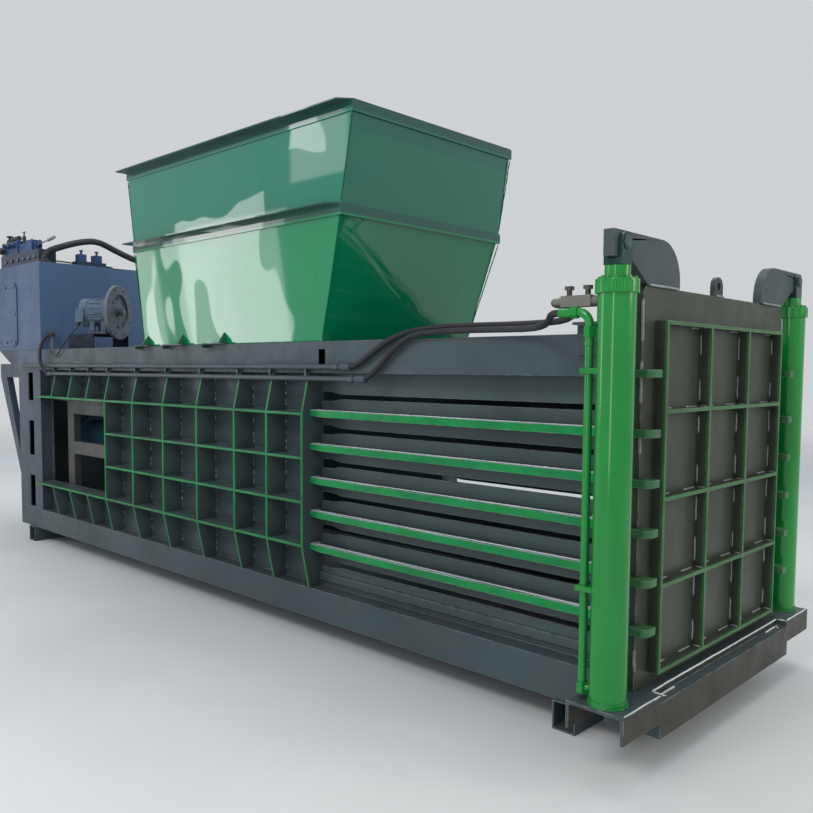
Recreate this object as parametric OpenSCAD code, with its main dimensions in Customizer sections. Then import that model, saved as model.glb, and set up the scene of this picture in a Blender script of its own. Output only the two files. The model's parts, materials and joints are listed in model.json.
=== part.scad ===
// Horizontal closed-end recycling baler: slatted bale chamber with a lifting end door,
// two-tier feed hopper, press ram and a rear oil unit.
// +X points to the door, +Z up, origin on the floor under the middle of the machine.

/* [Base frame] */
// Height of the cross bearers under the rails
bearer_h = 135; // [60:5:200]
// Width of each cross bearer
bearer_w = 120; // [80:5:200]
// Height of the two side rails
rail_h = 180; // [120:5:260]
// Flange width of the side rails
rail_w = 90; // [70:5:110]
// Plate thickness of the rails
rail_t = 12; // [8:1:18]
// How far the side rails pass the chamber wall on each side
rail_out = 97; // [85:1:120]
// Pitch of the cross members under the chamber floor
member_pitch = 620; // [450:10:900]

/* [Front beam] */
// How far the front cross beam passes the axis of the lift cylinders
beam_over = 85; // [80:1:130]
// Depth of the front cross beam, front to back
beam_d = 253; // [230:1:290]
// How far the beam stands in front of the door face
beam_proj = 52; // [46:1:80]
// Plate thickness of the beam
beam_t = 14; // [10:1:20]
// Depth of the shallow end parts of the beam
beam_end_h = 112; // [80:2:120]
// Drop of the front ledge below the beam top
ledge_drop = 28; // [16:1:40]

/* [Chamber] */
// Clear height from the rails to the deck boxes
chamber_h = 1270; // [1240:10:1300]
// Width over the chamber side walls
wall_w = 1100; // [1080:2:1120]
// Thickness of the chamber walls and slats
wall_t = 16; // [12:1:20]
// Thickness of the chamber floor
floor_t = 20; // [14:1:26]
// Distance from the door face back to the last rib
rib_back = 2216; // [2150:2:2300]
// Pitch of the two ribs nearest the slats
rib_pitch_front = 342; // [320:1:360]
// Pitch of the long ribs behind them
rib_pitch = 441; // [420:1:450]
// Pitch of the short ribs over and under the side window
rib_pitch_short = 331; // [300:1:345]
// How far the ribs stand out from the wall
rib_d = 151; // [130:1:180]
// Thickness of the ribs
rib_t = 16; // [10:1:20]
// Height of the lowest horizontal rib over the rails
rib_low_up = 254; // [225:1:285]
// Distance from the deck box down to the highest horizontal rib
rib_high_drop = 238; // [205:1:265]

/* [Slats] */
// Height of the lowest slat bar over the rails
bar_up = 243; // [235:1:255]
// Pitch of the slats
slat_pitch = 198; // [192:1:202]
// Height of the strapping slots between slats
slot_h = 26; // [18:1:34]
// Height of the green face of a slat bar
bar_h = 40; // [30:1:50]
// How far a slat bar stands out from the wall
bar_d = 93; // [70:1:96]
// Extra opening at the rear end of each slot
slot_flare = 14; // [6:1:20]

/* [Door] */
// How far the door passes the chamber wall on each side
door_over = 192; // [180:1:200]
// How far the door rises over the deck
door_rise = 180; // [150:1:220]
// Thickness of the door panel
door_t = 30; // [20:1:34]
// Distance from the door's side edge to the stiffener grid
grid_in = 114; // [100:1:140]
// Distance from the door's upper edge down to the stiffener grid
grid_drop = 134; // [110:1:160]
// How far the door stiffeners stand out
grid_d = 50; // [40:1:60]
// Thickness of the door stiffeners
grid_t = 16; // [10:1:20]
// Height of the lowest door stiffener over the door's lower edge
grid_low = 52; // [40:1:60]
// Running gap between the door and its guides
door_gap = 4; // [2:0.5:5]

/* [Door guides] */
// Depth of the guide posts, front to back
post_d = 156; // [120:2:180]
// Thickness of the claws
claw_t = 32; // [24:1:38]
// Width of the claw arm in front of the door
claw_arm = 64; // [50:1:68]
// How far the claws pass outside the door edge
claw_out = 37; // [30:1:44]
// Reach of the claw tips over the door edge
claw_reach = 43; // [30:1:60]
// Height of each claw over the slat bar beside it
claw_up = 14; // [0:1:24]
// Extra height of the top claw over the even claw pitch
claw_top_up = 38; // [0:1:60]

/* [Lift cylinders] */
// Outside diameter of the lift barrels
barrel_d = 146; // [130:1:160]
// Bore of the lift barrels
barrel_bore = 120; // [100:1:122]
// Distance from the door's upper edge down to the top of the lift barrels
barrel_drop = 46.3; // [40:0.1:60]
// Distance from the door's side edge to the axis of the lift cylinder
lift_out = 177; // [165:1:190]
// Rod diameter of the lift cylinders
lift_rod_d = 70; // [50:1:80]
// Diameter of the lift pins
pin_d = 40; // [30:1:44]
// Outside diameter of the side pipes
side_pipe_d = 34; // [26:1:38]
// Thickness of the lifting arms
arm_t = 45; // [30:1:50]
// How far the lifting arms pass outside the pins
arm_end = 72; // [60:1:80]
// Half width of the rod forks
fork_r = 40; // [34:1:46]
// Thickness of the fork cheeks
fork_t = 15; // [10:1:20]

/* [Hopper] */
// Height of the lower hopper tier
hopper_low_h = 746; // [600:2:900]
// Height of the upper hopper tier
hopper_up_h = 534; // [400:1:700]
// Sheet thickness of the hopper
hopper_t = 6; // [4:0.5:10]
// Distance from the door face back to the front of the hopper mouth
hopper_front = 2102; // [2080:1:2150]
// Length of the hopper at its foot
hopper_l = 2015; // [1900:5:2100]
// Distance from the rail's side down the deck to the foot of the hopper
hopper_in = 7; // [4:1:20]
// Distance from the door face back to the front of the hopper where its tiers meet
mid_front = 1875; // [1850:1:1900]
// Distance from the door face back to the rear of the hopper where its tiers meet
mid_rear = 4145; // [4120:1:4170]
// How far the hopper spreads on each side where its tiers meet
mid_spread = 60; // [40:1:70]
// Distance from the door face back to the front of the hopper rim
rim_front = 1787; // [1760:1:1820]
// Distance from the door face back to the rear of the hopper rim
rim_rear = 4234; // [4200:1:4260]
// How far the hopper spreads on each side at its rim
rim_spread = 55; // [35:1:70]
// Width of the angle flanges along the sides of the hopper
hopper_flange = 76; // [50:1:90]
// Width of the angle flanges along the rear of the hopper
rear_flange = 42; // [30:1:60]

/* [Oil unit] */
// How far the tank stands forward over the rear of the frame
tank_on = 519; // [460:1:560]
// Length of the tank
tank_l = 1050; // [900:5:1200]
// Height of the tank
tank_h = 785; // [600:5:900]
// Diameter of the motor body
motor_d = 222; // [180:2:260]
// Length of the motor body
motor_l = 210; // [200:5:240]
// Height of the motor axis over the deck
motor_axis_h = 306; // [290:1:340]
// Diameter of the big motor flange
motor_flange_d = 456; // [380:2:480]
// Angle between the motor axis and the machine
motor_angle = 36.5; // [20:0.5:50]
// Height of the stand under the motor
stand_h = 123; // [100:1:140]
// Height of the valve manifold on the tank lid
stack_h = 130; // [100:1:150]

/* [Press ram] */
// Travel of the ram
ram_stroke = 2030; // [1800:10:2050]
// Distance from the door face back to the ram face
ram_back = 4150; // [4140:5:4200]
// Depth of the ram head
ram_head_d = 150; // [120:5:200]
// Outside diameter of the main barrel
main_d = 273; // [240:1:300]
// How far the main barrel passes behind the frame
barrel_tail = 130; // [100:5:200]
// Bore of the main barrel
main_bore = 220; // [180:1:224]
// Diameter of the main rod
main_rod_d = 140; // [100:1:150]

/* [Pipes] */
// Outside diameter of the two long steel pipes
pipe_d = 30; // [24:1:34]
// Outside diameter of the two pressure hoses
hose_d = 30; // [24:1:32]

/* [Hidden] */
$fn = 48;
// Clearance of a sliding piece on its seat
seat = 0.3;
// Radial clearance of a running fit
fit = 0.05;

// Heights
rail_top = bearer_h + rail_h;
floor_top = rail_top + floor_t;
box_low = rail_top + chamber_h;
box_h = 182;
deck = box_low + box_h;

// The main cylinder sets the length of the frame behind the door face
main_gap = 40;
main_ends = 240;
frame_l = ram_back + ram_head_d + main_gap + ram_stroke + main_ends - barrel_tail;
tank_back = frame_l - tank_on;

// The machine is centred between the front of the beam and the rear of the tank
face_x = (tank_back + tank_l - beam_proj) / 2;
front_x = face_x + beam_proj;
beam_back = front_x - beam_d;
rear_x = face_x - frame_l;
column_l = 480;
column_front = rear_x + column_l;
door_front = face_x - grid_d;
door_back = door_front - door_t;
door_mid = door_front - door_t / 2;
post_front = door_back - door_gap;
post_back = post_front - post_d;
rib_x = face_x - rib_back;

// Half widths
wall_y = wall_w / 2;
rail_y = wall_y + rail_out;
door_y = wall_y + door_over;
lift_y = door_y + lift_out;
beam_y = lift_y + beam_over;
inner_y = wall_y - wall_t;
rib_y = wall_y + rib_d;
box_w = rail_out + 7;
bar_y = wall_y + bar_d;

long_ribs = [
  rib_x, rib_x - rib_pitch_front, rib_x - 2 * rib_pitch_front,
  for (i = [1:4]) rib_x - 2 * rib_pitch_front - i * rib_pitch
];
window_front = long_ribs[6];
short_ribs = [for (i = [1:3]) window_front - i * rib_pitch_short];
rib_low_z = rail_top + rib_low_up;
rib_high_z = box_low - rib_high_drop;
rib_step = (rib_high_z - rib_low_z) / 3;

door_low = rail_top + seat;
door_top = deck + door_rise + seat;
grid_top = door_top - grid_drop;
bar_z = rail_top + bar_up;
top_slat = 100;
bars = 1 + floor((chamber_h - bar_up - slat_pitch / 2 - top_slat) / slat_pitch);

hopper_x = face_x - hopper_front;
hopper_rear = hopper_x - hopper_l;
hopper_mid_z = deck + hopper_low_h;
hopper_top_z = hopper_mid_z + hopper_up_h;

tank_x = face_x - tank_back;
tank_top = deck + tank_h;

ram_x = face_x - ram_back;
ram_rear = ram_x - ram_stroke + 30;
ram_top = box_low - 5;
main_z = (floor_top + box_low) / 2;
main_front = ram_x - ram_head_d - main_gap;
main_rear = main_front - ram_stroke - main_ends;

module far() { children(); }
module near() { mirror([0, 1, 0]) children(); }
module both() {
  far() children();
  near() children();
}

// A box given by its two corners
module span(a, b) {
  translate(a) cube(b - a);
}

// A hollow square tube along Y
module tube_y(x, w, z0, z1, len, t) {
  difference() {
    span([x - w / 2, -len / 2, z0], [x + w / 2, len / 2, z1]);
    span([x - w / 2 + t, -len / 2 - 1, z0 + t], [x + w / 2 - t, len / 2 + 1, z1 - t]);
  }
}

// Flat outline in the YZ plane made into a plate of thickness t centred on x
module plate_x(x, t) {
  translate([x + t / 2, 0, 0]) rotate([90, 0, -90]) mirror([1, 0, 0]) linear_extrude(t) children();
}

// Flat outline in the XZ plane made into a plate from y0 to y1
module plate_y(y0, y1) {
  translate([0, y1, 0]) rotate([90, 0, 0]) linear_extrude(y1 - y0) children();
}

// Hexagon bolt head on its shank, pointing along +Y from the face at y = 0
module bolt_y(d, head, grip) {
  rotate([-90, 0, 0]) cylinder(d = 1.6 * d, h = head, $fn = 6);
  rotate([90, 0, 0]) cylinder(d = d, h = grip);
}

module rod_x(x0, x1, d) {
  translate([x0, 0, 0]) rotate([0, 90, 0]) cylinder(d = d, h = x1 - x0);
}

// Base frame: two channel rails joined by cross members
module base_frame() color("#3d4448") {
  z0 = bearer_h;
  both() difference() {
    span([rear_x, rail_y - rail_w, z0], [beam_back, rail_y, rail_top]);
    span([rear_x - 1, rail_y - rail_w - 1, z0 + rail_t], [beam_back + 1, rail_y - rail_t, rail_top - rail_t]);
  }
  count = floor((beam_back - rear_x - 100) / member_pitch);
  for (i = [0:count]) {
    x = rear_x + i * member_pitch;
    difference() {
      span([x, -rail_y + rail_t, z0], [x + 80, rail_y - rail_t, rail_top]);
      span([x + rail_t, -rail_y, z0 + rail_t], [x + 81, rail_y, rail_top - rail_t]);
    }
  }
}

module cross_bearers() color("#34393c")
  for (x = [face_x - 430, rear_x + 260]) tube_y(x, bearer_w, 0, bearer_h, 2 * rail_y + 24, 8);

// Front cross beam: folded cover with a ledge in front of the door
module front_beam() color("#3d4448") {
  zt = rail_top;
  end_y = beam_y;
  ledge_y = door_y - 52;
  ledge_z = zt - ledge_drop;
  step_x = front_x - beam_proj;
  span([beam_back, -end_y, zt - beam_t], [step_x, end_y, zt]);
  span([beam_back, -end_y, zt - beam_end_h], [beam_back + beam_t, end_y, zt]);
  span([beam_back, -ledge_y, bearer_h], [beam_back + beam_t, ledge_y, zt]);
  span([step_x - beam_t, -ledge_y, ledge_z - beam_t], [step_x, ledge_y, zt]);
  span([step_x - beam_t, -ledge_y, ledge_z - beam_t], [front_x, ledge_y, ledge_z]);
  span([front_x - beam_t, -ledge_y, bearer_h], [front_x, ledge_y, ledge_z]);
  both() {
    span([step_x - 1, ledge_y, zt - beam_t], [front_x, end_y, zt]);
    span([front_x - beam_t, ledge_y, zt - beam_end_h], [front_x, end_y, zt]);
    span([beam_back, ledge_y, bearer_h], [front_x, ledge_y + beam_t, zt]);
  }
}

module chamber_floor() color("#4a4f50")
  span([rear_x + 60, -inner_y, rail_top], [post_front, inner_y, floor_top]);

// Solid side wall of the ram chamber with its inspection window
module ram_wall() color("#3d4448") difference() {
  span([column_front, inner_y, rail_top], [rib_x + rib_t / 2, wall_y, box_low]);
  span([column_front + 20, inner_y - 1, rib_low_z + rib_t / 2],
       [window_front - rib_t / 2, wall_y + 1, rib_high_z - rib_t / 2]);
}
module ram_wall_near() near() ram_wall();
module ram_wall_far() far() ram_wall();

// Outline of a long rib in the YZ plane, tapered to the rail and to the deck box
module rib_outline() polygon([
  [wall_y, rail_top], [rail_y, rail_top], [rib_y, rib_low_z], [rib_y, rib_high_z],
  [rail_y, box_low], [wall_y, box_low]
]);

// Upright ribs: long ones, and short ones over and under the side window
module ribs() color("#2f8f4f") {
  for (x = long_ribs) plate_x(x, rib_t) rib_outline();
  for (x = short_ribs) plate_x(x, rib_t) difference() {
    rib_outline();
    translate([wall_y - 1, rib_low_z - rib_t / 2]) square([rib_d + 2, rib_high_z - rib_low_z + rib_t]);
  }
}
module ribs_near() near() ribs();
module ribs_far() far() ribs();

// Horizontal bars fitted between the ribs, and along the edges of the side window
module rib_bar(x0, x1, z) span([x0, wall_y, z - rib_t / 2], [x1, rib_y, z + rib_t / 2]);
module rib_bars() color("#2f8f4f") {
  h = rib_t / 2;
  for (i = [0:len(long_ribs) - 2], k = [0:3])
    rib_bar(long_ribs[i + 1] + h, long_ribs[i] - h, rib_low_z + k * rib_step);
  for (z = [rib_low_z, rib_high_z])
    rib_bar(column_front, window_front - h, z);
}
module rib_bars_near() near() rib_bars();
module rib_bars_far() far() rib_bars();

// One slat in the XZ plane: its rear corners are cut back to open the slots
module slat_outline(z0, z1, cut0, cut1) {
  x0 = rib_x + rib_t / 2;
  a = 90;
  b = 170;
  polygon(concat(
    cut0 ? [[x0, z0 + slot_flare], [x0 + a, z0 + slot_flare], [x0 + b, z0]] : [[x0, z0]],
    [[post_back, z0], [post_back, z1]],
    cut1 ? [[x0 + b, z1], [x0 + a, z1 - slot_flare], [x0, z1 - slot_flare]] : [[x0, z1]]
  ));
}
module slats() color("#4b5355") plate_y(inner_y, wall_y) {
  half = (slat_pitch - slot_h) / 2;
  top_z = bar_z + (bars - 1) * slat_pitch;
  slat_outline(rail_top, bar_z - half - slot_h, false, true);
  for (i = [0:bars - 1]) slat_outline(bar_z + i * slat_pitch - half, bar_z + i * slat_pitch + half, true, true);
  slat_outline(top_z + half + slot_h, box_low, true, false);
}
module slats_near() near() slats();
module slats_far() far() slats();

// Bars along the middle of the slats, from the last rib to the guide post
module slat_bars() color("#2fa155")
  both() for (i = [0:bars - 1]) {
    z = bar_z + i * slat_pitch;
    plate_y(wall_y, bar_y) polygon([
      [rib_x + rib_t / 2, z - bar_h / 2 + 8], [rib_x + 90, z - bar_h / 2], [post_back, z - bar_h / 2],
      [post_back, z + bar_h / 2], [rib_x + rib_t / 2, z + bar_h / 2]
    ]);
  }

// Box beams along the top of both side walls, notched where the two halves join
module deck_boxes() color("#3d4448") both() difference() {
  span([rear_x, rail_y - box_w, box_low], [post_back, rail_y, deck]);
  span([rear_x - 1, rail_y - box_w + 8, box_low + 8], [post_back + 1, rail_y - 8, deck - 8]);
  span([rib_x + 88, rail_y - 9, box_low + 47], [rib_x + 149, rail_y + 1, deck - 43]);
}

// Deck over the bale chamber: ceiling plate under cross ribs
module bale_deck() color("#3d4448") {
  y = rail_y - box_w;
  x0 = hopper_x - 40;
  ribs = 5;
  span([x0, -y, box_low], [post_back, y, box_low + floor_t]);
  span([post_back - 1, -inner_y, box_low], [post_front, inner_y, box_low + floor_t]);
  span([x0, -y, box_low], [x0 + wall_t, y, deck]);
  span([x0, -y, deck - 8], [hopper_x + 30, y, deck]);
  for (i = [1:ribs])
    translate([x0 + i * (post_back - x0) / (ribs + 0.4), 0, 0]) span([0, -y, box_low], [wall_t, y, deck - 10]);
}

module rear_deck() color("#3d4448") {
  y = rail_y - box_w;
  span([rear_x, -y, deck - wall_t], [hopper_rear + 30, y, deck]);
  span([hopper_rear + 30 - wall_t, -y, ram_top + 12], [hopper_rear + 30, y, deck]);
  for (x = [rear_x + 500, rear_x + 1000, rear_x + 1500]) span([x, -y, deck - 110], [x + wall_t, y, deck]);
}

// Rear box columns with three weld slots in the outer plate
module rear_columns() color("#454c55") both() difference() {
  t = 12;
  span([rear_x, inner_y, rail_top], [column_front, rail_y, box_low]);
  span([rear_x + t, inner_y + t, rail_top - 1], [column_front - t, rail_y - t, box_low + 1]);
  for (z = [[rail_top + 8, rail_top + 300], [rail_top + 486, rail_top + 805], [box_low - 280, box_low - 25]])
    span([rear_x + 215, rail_y - t - 1, z[0]], [rear_x + 325, rail_y + 1, z[1]]);
}

// Rear crosshead that carries the main cylinder, with gussets above and below
module rear_crosshead() color("#3d4448") difference() {
  x0 = rear_x + 120;
  union() {
    span([x0, -inner_y, floor_top], [x0 + 60, inner_y, box_low]);
    for (y = [-360, -200, 184, 344]) span([x0 - 60, y, floor_top], [x0 + 1, y + wall_t, box_low]);
  }
  translate([x0 - 80, 0, main_z]) rotate([0, 90, 0]) cylinder(d = main_d + 2 * fit, h = 200);
}

module guide_posts() color("#3d4448") {
  both() difference() {
    span([post_back, inner_y, rail_top], [post_front, rib_y, deck]);
    span([post_back + 14, inner_y + 14, rail_top - 1], [post_front - 14, rib_y - 14, deck - 14]);
  }
  span([post_back, -inner_y, box_low + floor_t], [post_back + wall_t, inner_y, deck]);
}

// Hook-shaped claw in plan: from the guide post round the door edge
module claw_outline() {
  inner = door_y + door_gap;
  out = door_y + claw_out;
  tip = door_y - claw_reach;
  x1 = door_front + door_gap;
  x2 = x1 + claw_arm;
  r = 36;
  polygon([
    [post_back + 40, rib_y], [post_back + 100, out], [x2 - r, out], [x2, out - r], [x2, tip],
    [x1, tip], [x1, inner], [post_front, inner], [post_front, rib_y]
  ]);
  intersection() {
    translate([x2 - r, out - r]) circle(r);
    translate([x2 - r, out - r]) square(r);
  }
}
module claws() color("#3a8f52")
  both() for (i = [0:bars]) {
    z = bar_z + claw_up + i * slat_pitch + (i == bars ? claw_top_up : 0);
    translate([0, 0, z - claw_t / 2]) linear_extrude(claw_t) claw_outline();
  }

// Cantilever brackets that carry the rear half of the tank
module tank_brackets() color("#454c55") both() plate_y(rail_y - 60, rail_y) {
  low = deck - 257;
  step = deck - 130;
  reach = rear_x - 440;
  polygon([[rear_x, deck], [rear_x, step], [rear_x - 177, step], [reach, deck - 8], [reach, deck]]);
  polygon([[rear_x, low], [reach, low], [reach, step], [rear_x, step]]);
  polygon([[rear_x, rail_top + 295], [rear_x, rail_top + 485], [reach + 150, low], [reach, low]]);
}

// Sheet tier of the hopper between two rectangles given as [rear x, front x, half width]
module frustum(a, b, z0, z1, t) polyhedron(
  [for (r = [[a, z0], [b, z1]]) each [
    [r[0][0] + t, -r[0][2] + t, r[1]], [r[0][1] - t, -r[0][2] + t, r[1]],
    [r[0][1] - t, r[0][2] - t, r[1]], [r[0][0] + t, r[0][2] - t, r[1]]
  ]],
  [[0, 1, 2, 3], [7, 6, 5, 4], [4, 5, 1, 0], [5, 6, 2, 1], [6, 7, 3, 2], [7, 4, 0, 3]]
);
module tier(a, b, z0, z1, t) difference() {
  frustum(a, b, z0, z1, 0);
  frustum(a, b, z0 - 1, z1 + 1, t);
}

// Angle flange round the outside of a tier: flat leg along the sides and rear, upright leg all round
flange_t = 8;
angle_h = 64;
module flange_ring(r, top) {
  y = r[2];
  mitre_x = r[1] - hopper_flange * 0.75;
  difference() {
    translate([0, 0, top - flange_t]) linear_extrude(flange_t) polygon([
      [r[1] + flange_t, -y], [mitre_x, -y - hopper_flange], [r[0] - rear_flange, -y - hopper_flange],
      [r[0] - rear_flange, y + hopper_flange], [mitre_x, y + hopper_flange], [r[1] + flange_t, y]
    ]);
    span([r[0] + hopper_t, -y + hopper_t, top - flange_t - 1], [r[1] - hopper_t, y - hopper_t, top + 1]);
  }
  difference() {
    span([r[0] - flange_t, -y - flange_t, top - angle_h], [r[1] + flange_t, y + flange_t, top - flange_t + 1]);
    span([r[0], -y, top - angle_h - 1], [r[1], y, top]);
  }
}
hopper_y = rail_y - hopper_in;
hopper_foot = [hopper_rear, hopper_x, hopper_y];
hopper_mid = [face_x - mid_rear, face_x - mid_front, hopper_y + mid_spread];
hopper_rim = [face_x - rim_rear, face_x - rim_front, hopper_y + rim_spread];
module hopper_lower() color("#17935a") {
  tier(hopper_foot, hopper_mid, deck, hopper_mid_z - flange_t, hopper_t);
  flange_ring(hopper_mid, hopper_mid_z);
}
module hopper_upper() color("#17935a") {
  tier(hopper_mid, hopper_rim, hopper_mid_z, hopper_top_z - flange_t, hopper_t);
  flange_ring(hopper_rim, hopper_top_z);
}

// Clips along the hopper foot: gusset on a base plate that hooks over the deck edge
clips = [[-4174, -3991, -4058], [-3782, -3529, -3580], [-3274, -3039, -3073]];
clip_t = 8;
clip_out = 48;
module hopper_straps() color("#3d4448") both() for (c = clips) {
  x0 = face_x + c[0];
  y1 = rail_y + clip_out;
  span([x0, hopper_y + 1, deck], [face_x + c[1], y1, deck + clip_t]);
  span([x0, rail_y, deck - 22], [x0 + clip_t, y1, deck + 1]);
  plate_x(face_x + c[2], clip_t) polygon([
    [hopper_y + 1, deck + clip_t], [y1 - 6, deck + clip_t],
    [y1 - 6, deck + 22], [hopper_y + 8, deck + 78]
  ]);
}

// Bolts of the tank cover
cover_w = 500;
cover_mid = tank_x - 510 - cover_w / 2;
cover_h = 600;
cover_z = deck + 333;
cover_t = 10;
module hex_bolts() color("#2b2f31")
  for (sx = [-1, 0, 1], sz = [-1, 0, 1])
    if (sx != 0 || sz != 0)
      translate([cover_mid + sx * (cover_w / 2 - 40), -rail_y - cover_t, cover_z + sz * (cover_h / 2 - 40)])
        mirror([0, 1, 0]) bolt_y(16, 10, cover_t);

// Oil tank: closed welded box of sheet
tank_t = 6;
module oil_tank() color("#46566a") difference() {
  span([tank_x - tank_l, -rail_y, deck], [tank_x, rail_y, tank_top]);
  span([tank_x - tank_l + tank_t, -rail_y + tank_t, deck + tank_t],
       [tank_x - tank_t, rail_y - tank_t, tank_top - tank_t]);
}

module rounded_rect(w, h, r) {
  square([w - 2 * r, h], center = true);
  square([w, h - 2 * r], center = true);
  for (sx = [-1, 1], sy = [-1, 1]) translate([sx * (w / 2 - r), sy * (h / 2 - r)]) circle(r);
}
module tank_cover() color("#55657a") difference() {
  translate([cover_mid, -rail_y, cover_z]) rotate([90, 0, 0])
    linear_extrude(cover_t) rounded_rect(cover_w, cover_h, 80);
  for (sx = [-1, 0, 1], sz = [-1, 0, 1])
    if (sx != 0 || sz != 0)
      translate([cover_mid + sx * (cover_w / 2 - 40), -rail_y + 1, cover_z + sz * (cover_h / 2 - 40)])
        rotate([90, 0, 0]) cylinder(d = 16 + 2 * fit, h = cover_t + 2);
}

module filler_cap() color("#25292c") translate([tank_x - 850, 380, tank_top]) {
  cylinder(d = 90, h = 26);
  translate([0, 0, 26]) cylinder(d = 70, h = 46);
  translate([0, 0, 72]) cylinder(d = 78, h = 8);
}

// Valve stack on the tank lid
stack_x = tank_x - 149;
stack_y = -520;
stack_z = tank_top + stack_h;
pilot_x = tank_x - 110;
pilot_y = -120;
knob_x = stack_x - 485;
knob_d = 16;
lever_x = stack_x - 140;
lever_z = stack_z + 62;
lever_pin_d = 10;
lever_hub = 18;
module rod_y(y0, y1, d) translate([0, y0, 0]) rotate([-90, 0, 0]) cylinder(d = d, h = y1 - y0);
module solenoids(x, z) translate([x, stack_y, z]) {
  rod_y(-115, -54, 46);
  rod_y(54, 110, 46);
}
module valve_manifold() color("#31415f") {
  span([stack_x - 880, stack_y - 70, tank_top], [stack_x, stack_y + 90, stack_z]);
  span([pilot_x - 60, pilot_y - 150, tank_top], [pilot_x + 50, pilot_y + 130, tank_top + 45]);
  translate([stack_x + 5, stack_y + 20, stack_z - 52]) cylinder(d = 38, h = 34);
  translate([stack_x + 9, stack_y + 20, stack_z - 19]) cylinder(d = 12, h = 26);
}
module valve_bodies() color("#2c4f8a") {
  // Block: rear end and front end behind the manifold's front, half width, height
  for (b = [[-880, -786, 60, 100], [-780, -510, 55, 126], [-330, -200, 50, 106], [-201, -160, 30, 86]])
    span([stack_x + b[0], stack_y - b[2], stack_z], [stack_x + b[1], stack_y + b[2], stack_z + b[3]]);
  for (x = [-700, -590]) solenoids(stack_x + x, stack_z + 84);
  span([stack_x - 511, stack_y - 45, stack_z], [stack_x - 329, stack_y + 45, stack_z + 88]);
  difference() {
    for (y = [lever_hub / 2 + 1, -lever_hub / 2 - 9])
      span([stack_x - 161, stack_y + y, lever_z - 20], [stack_x - 122, stack_y + y + 8, lever_z + 16]);
    translate([lever_x, stack_y, lever_z]) rod_y(-40, 40, lever_pin_d + 2 * fit);
  }
  for (y = [pilot_y - 90, pilot_y + 60]) {
    span([pilot_x - 45, y - 36, tank_top + 45], [pilot_x + 35, y + 36, tank_top + 112]);
    translate([pilot_x, y, tank_top + 111]) cylinder(d = 20, h = 30);
    translate([pilot_x, y, tank_top + 140]) cylinder(d = 36, h = 12);
  }
}

// Gauge on the rear valve block, pressure switch on top of it, and sleeve and pilot of the relief valve
module pressure_gauge() color("#20262b") {
  translate([stack_x - 833, stack_y, stack_z + 50]) {
    rod_y(-74, -60, 18);
    rod_y(-104, -73, 66);
  }
  translate([stack_x - 833, stack_y, stack_z + 100]) {
    cylinder(d1 = 84, d2 = 50, h = 66);
    translate([0, 0, 66]) cylinder(d = 28, h = 26);
    translate([0, 0, 92]) cylinder(d = 64, h = 12);
  }
  translate([knob_x, stack_y, stack_z]) {
    difference() {
      translate([0, 0, 88]) cylinder(d = 32, h = 80);
      translate([0, 0, 100]) cylinder(d = knob_d + 2 * fit, h = 70);
    }
    difference() {
      translate([0, 0, 150]) rod_x(-120, -12, 14);
      translate([0, 0, 130]) cylinder(d = 30, h = 40);
    }
    translate([0, 0, 162]) rod_x(-285, -114, 46);
  }
}

// Adjusting knob of the relief valve with its cross bar
module relief_knob() color("#8b8f8f") translate([knob_x, stack_y, stack_z + 100 + seat]) {
  cylinder(d = knob_d, h = 108);
  translate([-30, 0, 106]) rotate([0, 90, 0]) cylinder(d = 12, h = 60);
}

// Hand lever of the directional valve, pivoted on a pin between two ears
lever_tilt = 85;
module hand_lever() color("#6f7476") translate([lever_x, stack_y, lever_z]) {
  rod_y(-lever_hub / 2, lever_hub / 2, 24);
  rod_y(-lever_hub / 2 - 10, lever_hub / 2 + 10, lever_pin_d);
  rotate([0, lever_tilt, 0]) translate([0, 0, 9]) cylinder(d = 12, h = 182);
  rotate([0, lever_tilt, 0]) translate([0, 0, 190]) cylinder(d = 28, h = 135);
}

// Arched suction hose across the tank lid with a flange at each foot
arch_d = 58;
arch_x = tank_x - 90;
module suction_hose() color("#2a2a2c") {
  route = [
    [-560, 26], [-560, 36], [-548, 78], [-500, 120], [-399, 162], [-276, 206], [-131, 240], [-20, 232],
    [116, 180], [270, 126], [400, 90], [452, 64], [462, 36], [462, 26]
  ];
  sweep([for (p = with_ends(route, 2)) [arch_x, p[0], tank_top + p[1]]], arch_d / 2, 12);
  for (y = [route[0][0], route[len(route) - 1][0]]) translate([arch_x, y, tank_top]) cylinder(d = 104, h = 26);
}

// Motor parked at an angle on the deck
motor_x = face_x - 5073;
motor_y = -345;
motor_z = deck + motor_axis_h;
module at_motor() translate([motor_x, motor_y, motor_z]) rotate([0, 0, motor_angle]) children();
module motor_stand() color("#2f3a48") difference() {
  t = 10;
  rear = face_x - 5500;
  front = face_x - 5040;
  span([rear, -600, deck], [front, -190, deck + stand_h]);
  span([rear - 1, -600 + t, deck - 1], [front + 1, -190 - t, deck + stand_h - t]);
  at_motor() span([-34, -400, -motor_axis_h - 1], [400, 400, 0]);
}
fin_h = 10;
fin_x = [-motor_l - 20, -120];
foot_x = [-240, -80];
foot_y = 70;
module motor_housing() color("#56626c") at_motor() {
  r = motor_d / 2;
  rotate([0, 90, 0]) rotate_extrude()
    polygon([[0, -motor_l - 40], [r, -motor_l - 40], [r, -90], [r + 30, -30], [0, -30]]);
  for (a = [-120:24:120]) rotate([a, 0, 0]) span([fin_x[0], -3, r - 6], [fin_x[1], 3, r + fin_h]);
  for (sy = [-1, 1]) {
    z = stand_h - motor_axis_h;
    span([foot_x[0], sy * foot_y - 26, z], [foot_x[1], sy * foot_y + 26, z + 18]);
    for (x = [foot_x[0] + 10, foot_x[1] - 50])
      span([x, sy * foot_y - 12, z + 17], [x + 40, sy * foot_y + 12, -r * 0.6]);
  }
}
shaft_d = 48;
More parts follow.
